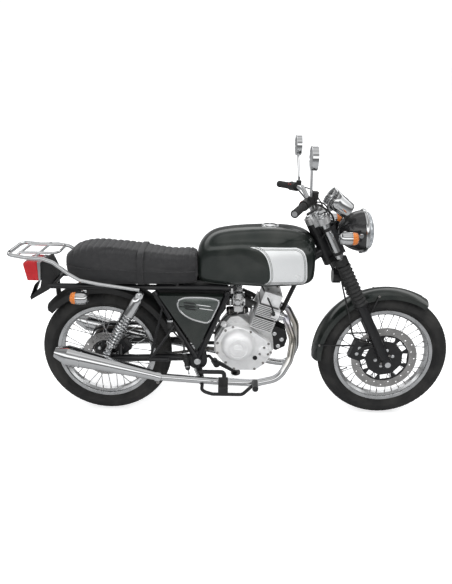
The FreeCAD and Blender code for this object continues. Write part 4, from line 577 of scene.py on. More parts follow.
def ring_lathe(draft, profile, start, direction, sides=48):
    """Turned ring: the profile is a closed loop that keeps off the axis."""
    rings = circles(draft, profile, start, direction, sides)
    for low, high in zip(rings, rings[1:] + rings[:1]):
        quads(draft, low, high)


def disc(draft, radius, low, high, start, direction, sides=48):
    """Plain round slab."""
    profile = [(0, low), (radius, low), (radius, high), (0, high)]
    lathe(draft, profile, start, direction, sides)


def hoop(draft, inner, outer, low, high, start, direction, sides=48):
    """Plain square-edged ring."""
    profile = [(inner, low), (outer, low), (outer, high), (inner, high)]
    ring_lathe(draft, profile, start, direction, sides)


def prism(draft, outline, low, high):
    """Side-view outline of (ahead, up) points, carried from one side to the other."""
    slab(draft, [(ahead, low, up) for ahead, up in outline],
         [(ahead, high, up) for ahead, up in outline])


def slab(draft, first, last):
    """Solid between two outlines of equal count."""
    near, far = [[draft.verts.new(point) for point in points] for points in (first, last)]
    draft.faces.new(near)
    draft.faces.new(list(reversed(far)))
    for index in range(len(near)):
        after = (index + 1) % len(near)
        draft.faces.new((near[after], near[index], far[index], far[after]))


def block(draft, centre, size, edge=0.0, turn=None):
    """Block about its centre, its edges broken."""
    place = Matrix.Translation(Vector(centre)) @ (turn or Matrix.Identity(3)).to_4x4()
    made = bmesh.ops.create_cube(draft, size=1.0)["verts"]
    bmesh.ops.scale(draft, verts=made, vec=Vector(size))
    if edge:
        edges = list({side for corner in made for side in corner.link_edges})
        made = bmesh.ops.bevel(draft, geom=edges, offset=edge, segments=2, profile=0.5,
                               affect="EDGES")["verts"]
        seen, queue = set(made), list(made)
        while queue:
            for side in queue.pop().link_edges:
                for other in side.verts:
                    if other not in seen:
                        seen.add(other)
                        queue.append(other)
        made = list(seen)
    bmesh.ops.transform(draft, matrix=place, verts=made)


def grid(draft, rows, closed=False, ends=True):
    """Skin over rows of points; each row is a ring where it is closed."""
    made = [[draft.verts.new(point) for point in row] for row in rows]
    for low, high in zip(made, made[1:]):
        quads(draft, low, high, closed)
    if closed and ends:
        draft.faces.new(list(reversed(made[0])))
        draft.faces.new(made[-1])


def drafts(count):
    return [bmesh.new() for _ in range(count)]


def solved(thing):
    """Mesh of an object with its modifiers run."""
    return bpy.data.meshes.new_from_object(
        thing.evaluated_get(bpy.context.evaluated_depsgraph_get()))


def enrol(thing, finish, body, slot, instead=()):
    """Hang a piece on its body and hide the CAD nodes that it stands for; its slot is not kept."""
    slot or SLOTS[finish.name]
    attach(thing, body)
    if instead:
        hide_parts(*instead)
    return thing


def settle(name, draft, finish, body="root", slot=None, instead=(), sharp=32, bevel=0.0):
    """Finish a drawing as a piece: outward faces, soft shading, its place and its body."""
    bmesh.ops.remove_doubles(draft, verts=draft.verts, dist=0.01)
    bmesh.ops.recalc_face_normals(draft, faces=draft.faces)
    mesh = bpy.data.meshes.new(name)
    draft.to_mesh(mesh)
    draft.free()
    mesh.transform(STANCE)
    mesh.shade_smooth()
    mesh.set_sharp_from_angle(angle=math.radians(sharp))
    thing = put(name, mesh)
    mesh.materials.append(finish)
    if bevel:
        edges = thing.modifiers.new("bevel", "BEVEL")
        edges.width = bevel / 1000
        edges.segments = 2
        edges.limit_method = "ANGLE"
        edges.angle_limit = math.radians(40)
    return enrol(thing, finish, body, slot, instead)


# Repeats: one Geometry Nodes tree each, run once and kept as a plain mesh


class Growth:
    """A Geometry Nodes tree with named inputs."""

    def __init__(self, name, **sizes):
        self.tree = bpy.data.node_groups.new(name, "GeometryNodeTree")
        face = self.tree.interface
        face.new_socket("Geometry", in_out="INPUT", socket_type="NodeSocketGeometry")
        face.new_socket("Geometry", in_out="OUTPUT", socket_type="NodeSocketGeometry")
        self.sizes = sizes
        for key in sizes:
            kind = "NodeSocketInt" if isinstance(sizes[key], int) else "NodeSocketFloat"
            face.new_socket(key, in_out="INPUT", socket_type=kind)
        face.new_socket("Finish", in_out="INPUT", socket_type="NodeSocketMaterial")
        self.inputs = self.tree.nodes.new("NodeGroupInput")
        self.outputs = self.tree.nodes.new("NodeGroupOutput")

    def given(self, key):
        return self.inputs.outputs[key]

    def node(self, kind, settings=None, **links):
        made = self.tree.nodes.new(kind)
        for key, value in (settings or {}).items():
            setattr(made, key, value)
        for key, value in links.items():
            socket = made.inputs[key.replace("_", " ")]
            if isinstance(value, bpy.types.NodeSocket):
                self.tree.links.new(value, socket)
            elif isinstance(value, bpy.types.Node):
                self.tree.links.new(value.outputs[0], socket)
            else:
                socket.default_value = value
        return made

    def end(self, geometry):
        whole = self.node("GeometryNodeRealizeInstances", Geometry=geometry)
        dressed = self.node("GeometryNodeSetMaterial", Geometry=whole,
                            Material=self.given("Finish"))
        self.tree.links.new(dressed.outputs[0], self.outputs.inputs[0])

    def grow(self, name, mesh, finish, body, slot):
        """Run the tree on a mesh already in place and keep the result as a piece."""
        seed = put(name + "_seed", mesh)
        run = seed.modifiers.new("grow", "NODES")
        run.node_group = self.tree
        for item in self.tree.interface.items_tree:
            if item.item_type == "SOCKET" and item.in_out == "INPUT":
                if item.name in self.sizes:
                    run[item.identifier] = self.sizes[item.name]
                elif item.name == "Finish":
                    run[item.identifier] = finish
        bpy.context.view_layer.update()
        grown = solved(seed)
        bpy.data.objects.remove(seed)
        grown.name = name
        if not grown.materials:
            grown.materials.append(finish)
        grown.shade_smooth()
        grown.set_sharp_from_angle(angle=math.radians(32))
        return enrol(put(name, grown), finish, body, slot)


def spots_mesh(name, spots):
    """Points in place, each with the way it faces."""
    mesh = bpy.data.meshes.new(name + "_spots")
    mesh.from_pydata([STANCE @ Vector(place) for place, facing in spots], [], [])
    facings = mesh.attributes.new("facing", "FLOAT_VECTOR", "POINT")
    turn = TILT.to_3x3()
    for index, (place, facing) in enumerate(spots):
        facings.data[index].vector = turn @ Vector(facing).normalized()
    return mesh


def heads(name, spots, finish, radius=5.0, height=4.0, corners=6, washer=1.4, body="root",
          slot=None):
    """Bolt heads on washers, one on each spot."""
    tree = Growth(name + "_tree", Radius=radius / 1000, Height=height / 1000, Corners=corners,
                  Washer=radius * washer / 1000)
    head = tree.node("GeometryNodeMeshCylinder", Vertices=tree.given("Corners"),
                     Radius=tree.given("Radius"), Depth=tree.given("Height"))
    lift = tree.node("ShaderNodeMath", {"operation": "MULTIPLY"})
    tree.tree.links.new(tree.given("Height"), lift.inputs[0])
    lift.inputs[1].default_value = 0.5
    rise = tree.node("ShaderNodeCombineXYZ", Z=lift)
    raised = tree.node("GeometryNodeTransform", Geometry=head, Translation=rise)
    flat = tree.node("GeometryNodeMeshCylinder", Vertices=16, Radius=tree.given("Washer"),
                     Depth=0.0016)
    both = tree.node("GeometryNodeJoinGeometry")
    for part in (raised, flat):
        tree.tree.links.new(part.outputs[0], both.inputs[0])
    facing = tree.node("GeometryNodeInputNamedAttribute", {"data_type": "FLOAT_VECTOR"},
                       Name="facing")
    turn = tree.node("FunctionNodeAlignRotationToVector", {"axis": "Z"}, Vector=facing)
    tree.end(tree.node("GeometryNodeInstanceOnPoints", Points=tree.given("Geometry"),
                       Instance=both, Rotation=turn))
    return tree.grow(name, spots_mesh(name, spots), finish, body, slot)


def coil(name, start, end, radius, wire, winds):
    """Chrome helical spring on the frame, from one point to another."""
    tree = Growth(name + "_tree", Turns=float(winds), Radius=radius / 1000,
                  Length=(end - start).length / 1000, Wire=wire / 1000)
    spiral = tree.node("GeometryNodeCurveSpiral", Resolution=20, Rotations=tree.given("Turns"),
                       Start_Radius=tree.given("Radius"), End_Radius=tree.given("Radius"),
                       Height=tree.given("Length"))
    section = tree.node("GeometryNodeCurvePrimitiveCircle", Resolution=8,
                        Radius=tree.given("Wire"))
    tree.end(tree.node("GeometryNodeCurveToMesh", Curve=spiral, Profile_Curve=section,
                       Fill_Caps=True))
    grown = tree.grow(name, bpy.data.meshes.new(name + "_seed"), CHROME, "root", None)
    grown.data.transform(STANCE @ Matrix.Translation(start) @ turn_to(end - start).to_4x4()
                         @ Matrix.Scale(1000, 4))


# Tank and seat


def through(rows, steps):
    """More rows between rows of points, on a smooth run through them."""
    ends = [[a * 2 - b for a, b in zip(rows[0], rows[1])], *rows,
            [a * 2 - b for a, b in zip(rows[-1], rows[-2])]]
    made = []
    for four in zip(ends, ends[1:], ends[2:], ends[3:]):
        for step in range(steps):
            t = step / steps
            made.append([(b * 2 + (c - a) * t + (a * 2 - b * 5 + c * 4 - d) * t ** 2
                          + (b * 3 - a - c * 3 + d) * t ** 3) / 2
                         for a, b, c, d in zip(*four)])
    return made + [rows[-1]]


def caster(node):
    """Function that drops a side-view point (ahead, up) on a CAD piece's flank."""
    skin = BVHTree.FromObject(frame["nodes"][node], bpy.context.evaluated_depsgraph_get())
    turn = TILT.to_3x3()

    def cast(ahead, up, side, lift):
        hit, facing, _, _ = skin.ray_cast(STANCE @ vec(ahead, side * 400, up),
                                          turn @ vec(0, -side, 0))
        if hit is None:
            return None
        out = (turn.inverted() @ facing).normalized()
        return UPRIGHT @ hit + (out if out.y * side > 0 else -out) * lift
    return cast


REAR_EDGE = [(77, 716), (93, 730), (101, 751), (98, 790), (89, 826), (74, 856), (48, 878),
             (6, 892)]
FRONT_EDGE = [(252, 716), (262, 724), (270, 744), (268, 790), (264, 826), (256, 858),
              (240, 880), (214, 892)]


def make_tank_panels():
    """Silver panel on each flank of the tank, with two fine stripes round its edge."""
    cast = caster("tank")
    rear = [(point.x, point.z) for point in flowing([(a, 0, u) for a, u in REAR_EDGE], 5)]
    front = [(point.x, point.z) for point in flowing([(a, 0, u) for a, u in FRONT_EDGE], 5)]

    def place(level, share):
        low, high = rear[level], front[level]
        return low[0] + (high[0] - low[0]) * share, low[1] + (high[1] - low[1]) * share

    across = 26
    panel, stripes = drafts(2)
    for side in SIDES:
        rows = [[cast(*place(level, step / across), side, 0.5) for step in range(across + 1)]
                for level in range(len(rear))]
        grid(panel, rows)
        rim = [place(0, step / 12) for step in range(12)] + front[:-1] \
            + [place(-1, 1 - step / 12) for step in range(12)] + rear[:0:-1]
        count = len(rim)
        outward = []
        for index, point in enumerate(rim):
            run = Vector(rim[(index + 1) % count]) - Vector(rim[index - 1])
            outward.append(Vector((run.y, -run.x)).normalized())
        for inset in (6.0, 11.0):
            band = []
            for point, out in zip(rim, outward):
                band.append([cast(point[0] - out.x * reach, point[1] - out.y * reach, side, 0.9)
                             for reach in (inset, inset + 1.8)])
            grid(stripes, band + band[:1])
    settle("tank_panels", panel, SILVER)
    settle("tank_stripes", stripes, DARK_STRIPE)


def make_tank_seam():
    """Rolled seam along the tank's lower edge."""
    cast = caster("tank")
    draft = bmesh.new()
    for side in SIDES:
        line = [cast(ahead, up, side, 0.4) for ahead, up in
                [(-196, 712), (-160, 707), (-100, 704), (-20, 704), (60, 704), (140, 704),
                 (200, 706), (245, 712), (272, 722)]]
        hose(draft, [point for point in line if point], 2.6, 8, 5)
    settle("tank_seam", draft, PAINT)


def make_tank_cap():
    """Flip filler cap: ring, lid, hinge and latch."""
    foot = vec(100, 0, 958)
    draft = bmesh.new()
    lathe(draft, [(0, 0), (44, 0), (44, 3), (42.5, 5), (38, 5.6), (37, 4.2), (35.4, 4.2),
                  (34.4, 7), (31, 11.2), (22, 13.2), (10, 14), (0, 14.2)], foot, Z, 64)
    block(draft, foot + vec(37, 0, 7.5), (9, 20, 7), 1.5)
    block(draft, foot + vec(-31, 0, 10.5), (12, 12, 5), 1.5)
    hoop(draft, 8, 11, 13, 15, foot, Z, 32)
    settle("filler_cap", draft, CHROME, instead=["tank_cap"])
    heads("filler_screws", [(foot + vec(40 * math.cos(a), 40 * math.sin(a), 5.4), Z)
                            for a in (0.6, 2.2, 4.0, 5.5)], CHROME, 2.4, 1.4, 12, 1.05)


def make_fuel_tap():
    spot = vec(-70, -78, 690)
    draft = bmesh.new()
    lathe(draft, [(0, 12), (9, 12), (9, 0), (13, -3), (13, -16), (9, -19), (7, -34), (0, -35)],
          spot, Z, 24)
    tube(draft, [spot + vec(0, 0, -10), spot + vec(0, -18, -10)], 6, 12)
    block(draft, spot + vec(0, -20, -16), (8, 5, 24), 1.5)
    settle("fuel_tap", draft, CASE)
    draft = bmesh.new()
    hose(draft, [spot + vec(0, 0, -33), (-74, -76, 646), (-66, -66, 632), (-50, -62, 628)], 4.2,
         10)
    settle("fuel_hose", draft, RUBBER)


SEAT_REAR, SEAT_LENGTH, SEAT_BOTTOM, SEAT_HEIGHT, SEAT_HALF = -842, 611, 706, 166, 138
SEAT_SHARES = [(0, 1), (0.5, 0.99), (0.82, 0.93), (0.96, 0.74), (1, 0.45), (0.97, 0.12),
               (0.88, 0)]
SEAT_STATIONS = [
    (0, 0.5, 0.42, 0.72), (0.02, 0.72, 0.27, 0.84), (0.08, 0.9, 0.12, 0.94),
    (0.2, 1, 0, 1), (0.42, 1, 0, 0.97), (0.62, 0.98, 0, 0.88),
    (0.82, 0.9, 0, 0.79), (0.95, 0.82, 0.01, 0.8), (1, 0.76, 0.04, 0.79)]


def seat_rows(inset):
    rows = []
    for ahead, wide, low, high in SEAT_STATIONS:
        bottom, top = SEAT_BOTTOM + low * SEAT_HEIGHT, SEAT_BOTTOM + high * SEAT_HEIGHT - inset
        place = SEAT_REAR + inset + ahead * (SEAT_LENGTH - 2 * inset)
        half = [vec(place, left * (wide * SEAT_HALF - inset), bottom + up * (top - bottom))
                for left, up in SEAT_SHARES]
        side = flowing(half, 3)
        rows.append([vec(point.x, -point.y, point.z) for point in reversed(side[1:])] + side)
    return through(rows, 5)


def seat_level(ahead, column):
    """Height of the seat's underside (2) or top (3) at a place along it."""
    share = min(1.0, max(0.0, (ahead - SEAT_REAR) / SEAT_LENGTH))
    for low, high in zip(SEAT_STATIONS, SEAT_STATIONS[1:]):
        if share <= high[0]:
            part = (share - low[0]) / (high[0] - low[0])
            return SEAT_BOTTOM + SEAT_HEIGHT * (low[column] + (high[column] - low[column]) * part)


def sew(place):
    """Seat point pulled into the cross channels of the top and the line of piping."""
    top = seat_level(place.x, 3)
    channel_first, channel_last, pitch = -792, -268, 29.1
    level = min(1.0, max(0.0, (place.z - top + 40) / 16))
    if channel_first - 5 < place.x < channel_last + 5:
        phase = (place.x - channel_first) / pitch
        place.z -= 5.0 * level * math.exp(-((phase - round(phase)) * pitch / 3.6) ** 2)
    seam = abs(place.x + 470)
    if seam < 5 and place.z < top - 30 and abs(place.y) > 60:
        place.y *= 1 - 0.012 * (1 - seam / 5)
    return place


def make_seat():
    """Seat pad swollen by cloth pressure; its channels are sewn in afterwards."""
    draft = bmesh.new()
    grid(draft, seat_rows(4.0), closed=True)
    bmesh.ops.recalc_face_normals(draft, faces=draft.faces)
    mesh = bpy.data.meshes.new("seat_pad")
    draft.to_mesh(mesh)
    draft.free()
    mesh.transform(STANCE)
    pad = put("seat_pad", mesh)
    remesh = pad.modifiers.new("remesh", "REMESH")
    remesh.mode = "VOXEL"
    remesh.voxel_size = 0.006
    keep_shape(pad)
    start = [corner.co.copy() for corner in pad.data.vertices]
    held = pad.vertex_groups.new(name="held")
    places = [UPRIGHT @ corner for corner in start]
    held.add([index for index, place in enumerate(places)
              if place.z < seat_level(place.x, 2) + 9], 1.0, "REPLACE")
    cloth = pad.modifiers.new("cloth", "CLOTH")
    cloth.settings.use_pressure = True
    cloth.settings.uniform_pressure_force = 4.0
    cloth.settings.effector_weights.gravity = 0.0
    cloth.settings.vertex_group_mass = "held"
    frames = 20
    cloth.point_cache.frame_start, cloth.point_cache.frame_end = 1, frames
    for step in range(1, frames + 1):
        bpy.context.scene.frame_set(step)
    keep_shape(pad)
    bpy.context.scene.frame_set(1)
    most = 0.006
    for corner, before in zip(pad.data.vertices, start):
        shift = corner.co - before
        if shift.length > most:
            corner.co = before + shift.normalized() * most
    draft = bmesh.new()
    draft.from_mesh(pad.data)
    bmesh.ops.subdivide_edges(draft, edges=draft.edges, cuts=1, use_grid_fill=True)
    for corner in draft.verts:
        corner.co = STANCE @ sew(UPRIGHT @ corner.co)
    for _ in range(2):
        bmesh.ops.smooth_vert(draft, verts=draft.verts, factor=0.5, use_axis_x=True,
                              use_axis_y=True, use_axis_z=True)
    draft.to_mesh(pad.data)
    draft.free()
    pad.data.shade_smooth()
    pad.data.materials.clear()
    pad.data.materials.append(VINYL)
    enrol(pad, VINYL, "root", None, ["seat"])


def keep_shape(thing):
    """Take an object's modifiers into its mesh."""
    mesh = solved(thing)
    thing.modifiers.clear()
    thing.data = mesh


def make_seat_trim():
    """Piping round the seat's top and the grab strap over it."""
    rows = seat_rows(0.0)
    draft = bmesh.new()
    for pick in (6, -7):
        tube(draft, [row[pick] for row in rows[6:-1]], 2.4, 8)
    settle("seat_piping", draft, VINYL)
    across = min(rows, key=lambda row: abs(row[0].x + 486))
    wide, draft = 13.0, bmesh.new()
    outer, inner = [], []
    for point in across:
        out = vec(0, point.y / SEAT_HALF, 0.75).normalized()
        outer.append(point + out * 3.4)
        inner.append(point - out * 2.0)
    rings = [[high + X * wide * 0.86, high + X * wide * 0.99 - Z * 0.8, low + X * wide,
              low - X * wide, high - X * wide * 0.99 - Z * 0.8, high - X * wide * 0.86]
             for high, low in zip(outer, inner)]
    grid(draft, rings, closed=True)
    settle("seat_strap", draft, VINYL)


# Tyres and wheels


TREAD_HALF = 57


def tyre_section():
    """Outside of the tyre from bead to bead: radius, left, and how far round the crown."""
    wall = [(230.4, 26.6), (236, 26.9), (242.6, 27.3), (245.5, 31.0), (248.5, 36.6),
            (250.0, 37.4), (252.0, 39.6), (256, 44.2), (259.0, 47.2), (260.2, 48.9),
            (261.8, 49.4), (264.6, 51.4)]
    steps = 36
    crown = [(TREAD + CROWN * math.sin(math.pi * step / steps),
              CROWN * math.cos(math.pi * step / steps),
              CROWN * (math.pi / 2 - math.pi * step / steps)) for step in range(steps + 1)]
    left = [(radius, side, None) for radius, side in wall]
    return left + crown + [(radius, -side, None) for radius, side in reversed(wall)]


def groove_depth(across, turn, rear):
    """Tread depth at a place across the crown and a turn counted in pitches."""
    zigzag = 2.4 * (abs((turn % 1) * 4 - 2) - 1)
    middles = (0.0,) if rear else (-7.0, 7.0)
    if any(abs(across - middle - zigzag) < 2.3 for middle in middles):
        return 3.0
    if any(abs(across - shoulder + zigzag) < 2.3 for shoulder in (-24.0, 24.0)):
        return 3.2
    reach = abs(across)
    if 27 < reach < 56 and (turn + (reach - 27) / 80 * math.copysign(1, across)) % 1 < 0.2:
        return 2.6 * min(1.0, (58 - reach) / 8)
    if 9 < reach < 21 and (turn * 2 + reach / 40) % 1 < 0.22:
        return 1.6
    return 0.0


def make_tyre(axle, body, node, rear):
    """Road tyre with rim lines on its walls and a cut tread."""
    pitches, steps = 62, 8
    around = pitches * steps
    section = tyre_section()
    rings = []
    for index in range(around):
        angle = 2 * math.pi * index / around
        ring = []
        for radius, left, across in section:
            if across is not None and abs(across) < TREAD_HALF:
                radius -= groove_depth(across, index / steps, rear)
            ring.append(axle + vec(radius * math.cos(angle), left, radius * math.sin(angle)))
        rings.append(ring)
    draft = bmesh.new()
    grid(draft, rings + rings[:1], closed=True, ends=False)
    settle(node + "_tread", draft, TYRE, body, instead=[node], sharp=38)


def around_axle(axle, reach, count, left, start=0.0):
    """Places round an axle, each with its way out."""
    spots = []
    for index in range(count):
        angle = start + 2 * math.pi * index / count
        out = vec(math.cos(angle), 0, math.sin(angle))
        spots.append((axle + out * reach + Y * left, out))
    return spots


def make_wheel_trim(name, axle, body):
    """Spoke nipples, valve, disc bolts and hub rings."""
    nipples = [(place + Y * 6 * (1 if index % 2 else -1), -out)
               for index, (place, out) in enumerate(around_axle(axle, 217.5, 36, 0))]
    heads(name + "_nipples", nipples, STEEL, 2.9, 13.0, 8, 1.5, body=body)
    bolts = [(place, -Y) for place, _ in around_axle(axle, 43, 6, -52.4, 0.26)]
    heads(name + "_hub_bolts", bolts, CHROME, 6.0, 4.5, 6, 1.4, body=body)
    draft = bmesh.new()
    out = vec(math.cos(3.6), 0, math.sin(3.6))
    lathe(draft, [(0, 0), (4.5, 0), (4.5, 5), (2.6, 7), (2.6, 28), (4, 29), (4, 36), (0, 37)],
          axle + out * 218, -out, 16)
    settle(name + "_valve", draft, RUBBER, body)
    draft = bmesh.new()
    for left in (-20, 0, 20):
        reach = 26.6 if abs(left) < 10 else 29.5
        ring_lathe(draft, [(reach - 3, left - 1.6), (reach + 2, left - 1.2),
                           (reach + 2, left + 1.2), (reach - 3, left + 1.6)], axle, Y, 48)
    settle(name + "_hub_ribs", draft, BLACK, body)


# Shocks, lamps and instruments


def smooth_profile(pairs, steps=5):
    return [(max(point.x, 0.0), point.z) for point in
            flowing([(radius, 0, height) for radius, height in pairs], steps)]


SHOCK_ENDS = ((-492, 660), (-655, 374))
SHOCK_HALF = 138


def make_shocks():
    """Twin shocks: damper, adjuster collar, open coil spring, plain top can and eyes."""
    bodies, bushes = drafts(2)
    for number, side in enumerate(SIDES):
        top, foot = [vec(ahead, side * SHOCK_HALF, up) for ahead, up in SHOCK_ENDS]
        up = (top - foot).normalized()
        length = (top - foot).length
        lathe(bodies, [(0, 12), (13, 12), (15, 18), (15, 34), (19, 36), (27, 40), (27, 46),
                       (22, 48), (14.5, 49), (14.5, length * 0.5), (6, length * 0.5 + 2),
                       (6, length - 12), (0, length - 12)], foot, up, 36)
        lathe(bodies, [(0, length * 0.66), (25.5, length * 0.66), (27, length * 0.665),
                       (27, length * 0.9), (25, length * 0.935), (18, length * 0.97),
                       (0, length - 8)], foot, up, 40)
        for end in (top, foot):
            hoop(bodies, 8, 17, -13, 13, end, Y, 32)
            disc(bushes, 11.5, -12, 12, end, Y, 24)
        coil(f"shock_spring_{number}", foot + up * 49, foot + up * (length * 0.66 - 2), 22.4, 5.0,
             10.5)
    settle("shock_bodies", bodies, CHROME, instead=["shocks"])
    settle("shock_bushes", bushes, RUBBER)
    heads("shock_nuts", [(vec(ahead, side * (SHOCK_HALF + 13), up), Y * side) for side in SIDES
                         for ahead, up in SHOCK_ENDS], CHROME, 9, 5, 6, 1.25)


LAMP_FACING = tilted(4)
LAMP_BACK = vec(546, 0, 946) - LAMP_FACING * 132


def make_headlamp():
    """Black bowl, bright rim and fluted glass, with the rim's screw."""
    draft = bmesh.new()
    lathe(draft, smooth_profile([(0, 0), (22, 2), (41, 10.6), (66, 34.3), (82.6, 60.7),
                                 (92.8, 89.8), (96, 117)]) + [(0, 117)],
          LAMP_BACK, LAMP_FACING, 72)
    settle("headlamp_bowl", draft, BOWL, "steering", instead=["headlamp"])
    draft = bmesh.new()
    ring_lathe(draft, [(96.5, 113), (100.5, 113), (102, 115.5), (102, 121), (100, 126.5),
                       (95.6, 130.5), (91.5, 131.4), (90.5, 129.5), (91.5, 124),
                       (95, 118)], LAMP_BACK, LAMP_FACING, 80)
    settle("headlamp_rim", draft, CHROME, "steering")
    draft = bmesh.new()
    lathe(draft, [(0, 120), (91, 120)] + smooth_profile(
        [(91, 127), (81.6, 145), (62, 154.5), (43, 160), (20, 164.5), (0, 166)]),
        LAMP_BACK, LAMP_FACING, 72)
    settle("headlamp_glass", draft, GLASS, "steering")
    heads("headlamp_bolts", [(vec(502, side * 106.5, 946), Y * side) for side in SIDES]
          + [(LAMP_BACK + LAMP_FACING * 117 - Z * 101.8, -Z)], CHROME, 8.5, 5, 6, 1.3,
          body="steering")


def make_indicators(name, body, places, facing):
    """Bright cups with orange lenses on short stems."""
    cups, lenses = drafts(2)
    for place, root in places:
        start = Vector(place) - facing * 42
        lathe(cups, smooth_profile([(0, 0), (16, 1.7), (26, 13.4), (29, 35), (29, 51)], 4)
              + [(29, 53), (0, 53)], start, facing, 40)
        hoop(cups, 26.5, 29, 51, 55, start, facing, 40)
        lathe(lenses, [(0, 53)] + smooth_profile([(27.6, 54), (27.2, 68), (24, 77),
                                                  (15, 82.4), (0, 84)], 4), start, facing, 40)
        tube(cups, [Vector(place), Vector(root)], 7, 16)
        toward = (Vector(root) - Vector(place)).normalized()
        lathe(cups, [(0, 0), (13, 0), (13, 5), (9, 8), (0, 8)], Vector(root), -toward, 24)
    settle(name + "_cups", cups, CHROME, body, instead=[name])
    settle(name + "_lenses", lenses, ORANGE_LENS, body)


def make_clocks():
    """Two clocks: bright cups and bezels, dark dials with numbers and pointers."""
    slope = math.radians(36)
    facing = vec(-math.cos(slope), 0, math.sin(slope))
    top = vec(math.sin(slope), 0, math.cos(slope))
    ahead, half, level, first_mark = 372, 56, 1100, -120
    cups, dials, marks = drafts(3)
    for number, side in enumerate(SIDES):
        back = vec(ahead, side * half, level) - facing * 96
        lathe(cups, [(0, 0), (30, 0), (35, 3), (38.5, 10), (39.5, 60), (41.5, 72), (42.5, 80),
                     (0, 80)], back, facing, 48)
        ring_lathe(cups, [(38.6, 84), (40, 79), (43, 79), (43, 92), (41.4, 95.6),
                          (38.8, 95.6), (37.6, 90)], back, facing, 56)
        disc(dials, 38.8, 79, 86, back, facing, 48)
        right = top.cross(facing)

        def spot(angle, reach, lift=86.6):
            turn = math.radians(angle)
            return back + facing * lift + (top * math.cos(turn) + right * math.sin(turn)) * reach

        for index in range(25):
            angle = first_mark + index * 10
            inner, thick = (31, 0.45) if index % 3 else (27, 0.75)
            tube(marks, [spot(angle, inner), spot(angle, 35)], thick, 6)
        pointer = -118 + 9 * number
        tube(marks, [spot(pointer, -9), spot(pointer, 27)], [1.1, 0.5], 8)
        lathe(marks, [(0, 86), (4.5, 86), (4.5, 89), (0, 89.6)], back, facing, 20)
        for index in range(7):
            label = bpy.data.curves.new(f"dial_{number}_{index}", "FONT")
            label.body = str(index * (20, 1)[number])
            label.size = 0.0062
            label.align_x, label.align_y = "CENTER", "CENTER"
            thing = put("label", label)
            bpy.context.view_layer.update()
            flat = solved(thing)
            bpy.data.objects.remove(thing)
            lie = Matrix([right, top, facing]).transposed().to_4x4()
            flat.transform(Matrix.Translation(spot(first_mark + index * 40, 21.5)) @ lie
                           @ Matrix.Scale(1000, 4))
            marks.from_mesh(flat)
    low = vec(ahead, 0, level) - facing * 64
    tube(cups, [low - Y * half, low + Y * half], 11, 16)
    tube(cups, [low, fork(790, -20)], 9, 12)
    settle("clock_cups", cups, CHROME, "steering", instead=["clocks"])
    settle("clock_dials", dials, DIAL, "steering", slot="bright_chrome")
    settle("clock_marks", marks, STRIPE, "steering")


# Handlebar and its controls


BAR_BEND = {side: vec(262, side * 150, 1114) for side in SIDES}
BAR_END = {side: vec(168, side * 372, 1096) for side in SIDES}


def on_bar(side, length):
    """Point on the handlebar's outer run, at a length in from its end."""
    run = (BAR_BEND[side] - BAR_END[side]).normalized()
    return BAR_END[side] + run * length


def make_grips():
    """Ribbed rubber grips with end flanges."""
    draft = bmesh.new()
    ribs = 17
    profile = [(11.3, 0.5), (13, 0), (17, 0.8), (17, 6), (15.6, 8)]
    for index in range(ribs):
        at = 9 + index * 6.0
        profile += [(14.6, at), (16.4, at + 1), (16.4, at + 4), (14.6, at + 5)]
    profile += [(14.8, 112.5), (17, 114), (17, 120), (15, 121.5), (11.3, 121.5)]
    for side in SIDES:
        run = BAR_BEND[side] - BAR_END[side]
        ring_lathe(draft, profile, BAR_END[side], run, 32)
        lathe(draft, [(0, -0.0), (15.5, 0.0), (16.5, 1.4), (0, 1.4)], BAR_END[side], run, 32)
    settle("ribbed_grips", draft, RUBBER, "steering", instead=["grips"])


def make_controls():
    """Switch buttons, lever clamps, screws and the front brake's reservoir."""
    blocks, bright, clear = drafts(3)
    spots = []
    for side in SIDES:
        run = (BAR_BEND[side] - BAR_END[side]).normalized()
        middle = on_bar(side, 150)
        turn = turn_to(run, Z)
        for length, colour in ((140, bright), (150, blocks), (160, bright)):
            spot = on_bar(side, length) + vec(-18.5, 0, 9.5)
            block(colour, spot, (6, 5, 7), 1.0, turn)
        hoop(blocks, 17, 21.2, -3, 3, middle, run, 32)
        spots += [(on_bar(side, length) + Z * 21.2, Z) for length in (132, 176)]
    root = on_bar(-1, 190) + X * 24 + Z * 12
    block(blocks, root - Z * 8, (26, 22, 20), 3)
    lathe(clear, [(0, 0), (17, 0), (18.5, 3), (18.5, 26), (0, 26)], root, Z, 32)
    lathe(blocks, [(0, 26), (20, 26), (20, 32), (16, 34.5), (0, 35)], root, Z, 32)
    settle("switch_gear", blocks, PLASTIC, "steering")
    settle("switch_buttons", bright, RED_BUTTON, "steering")
    settle("brake_reservoir", clear, PLASTIC, "steering")
    heads("control_screws", spots, STEEL, 3.2, 2, 6, 1.2, body="steering")


def make_mirror_glass():
    draft = bmesh.new()
    rims = bmesh.new()
    for side in SIDES:
        centre = vec(235, side * 275, 1300)
        disc(draft, 45, 0.4, 2.0, centre, -X, 56)
        ring_lathe(rims, [(44.4, -4), (48, -4), (48, 1.6), (46.6, 3.2), (44.4, 3.2)],
                   centre, -X, 56)
    settle("mirror_glass", draft, MIRROR, "steering")
    settle("mirror_rims", rims, CHROME, "steering")


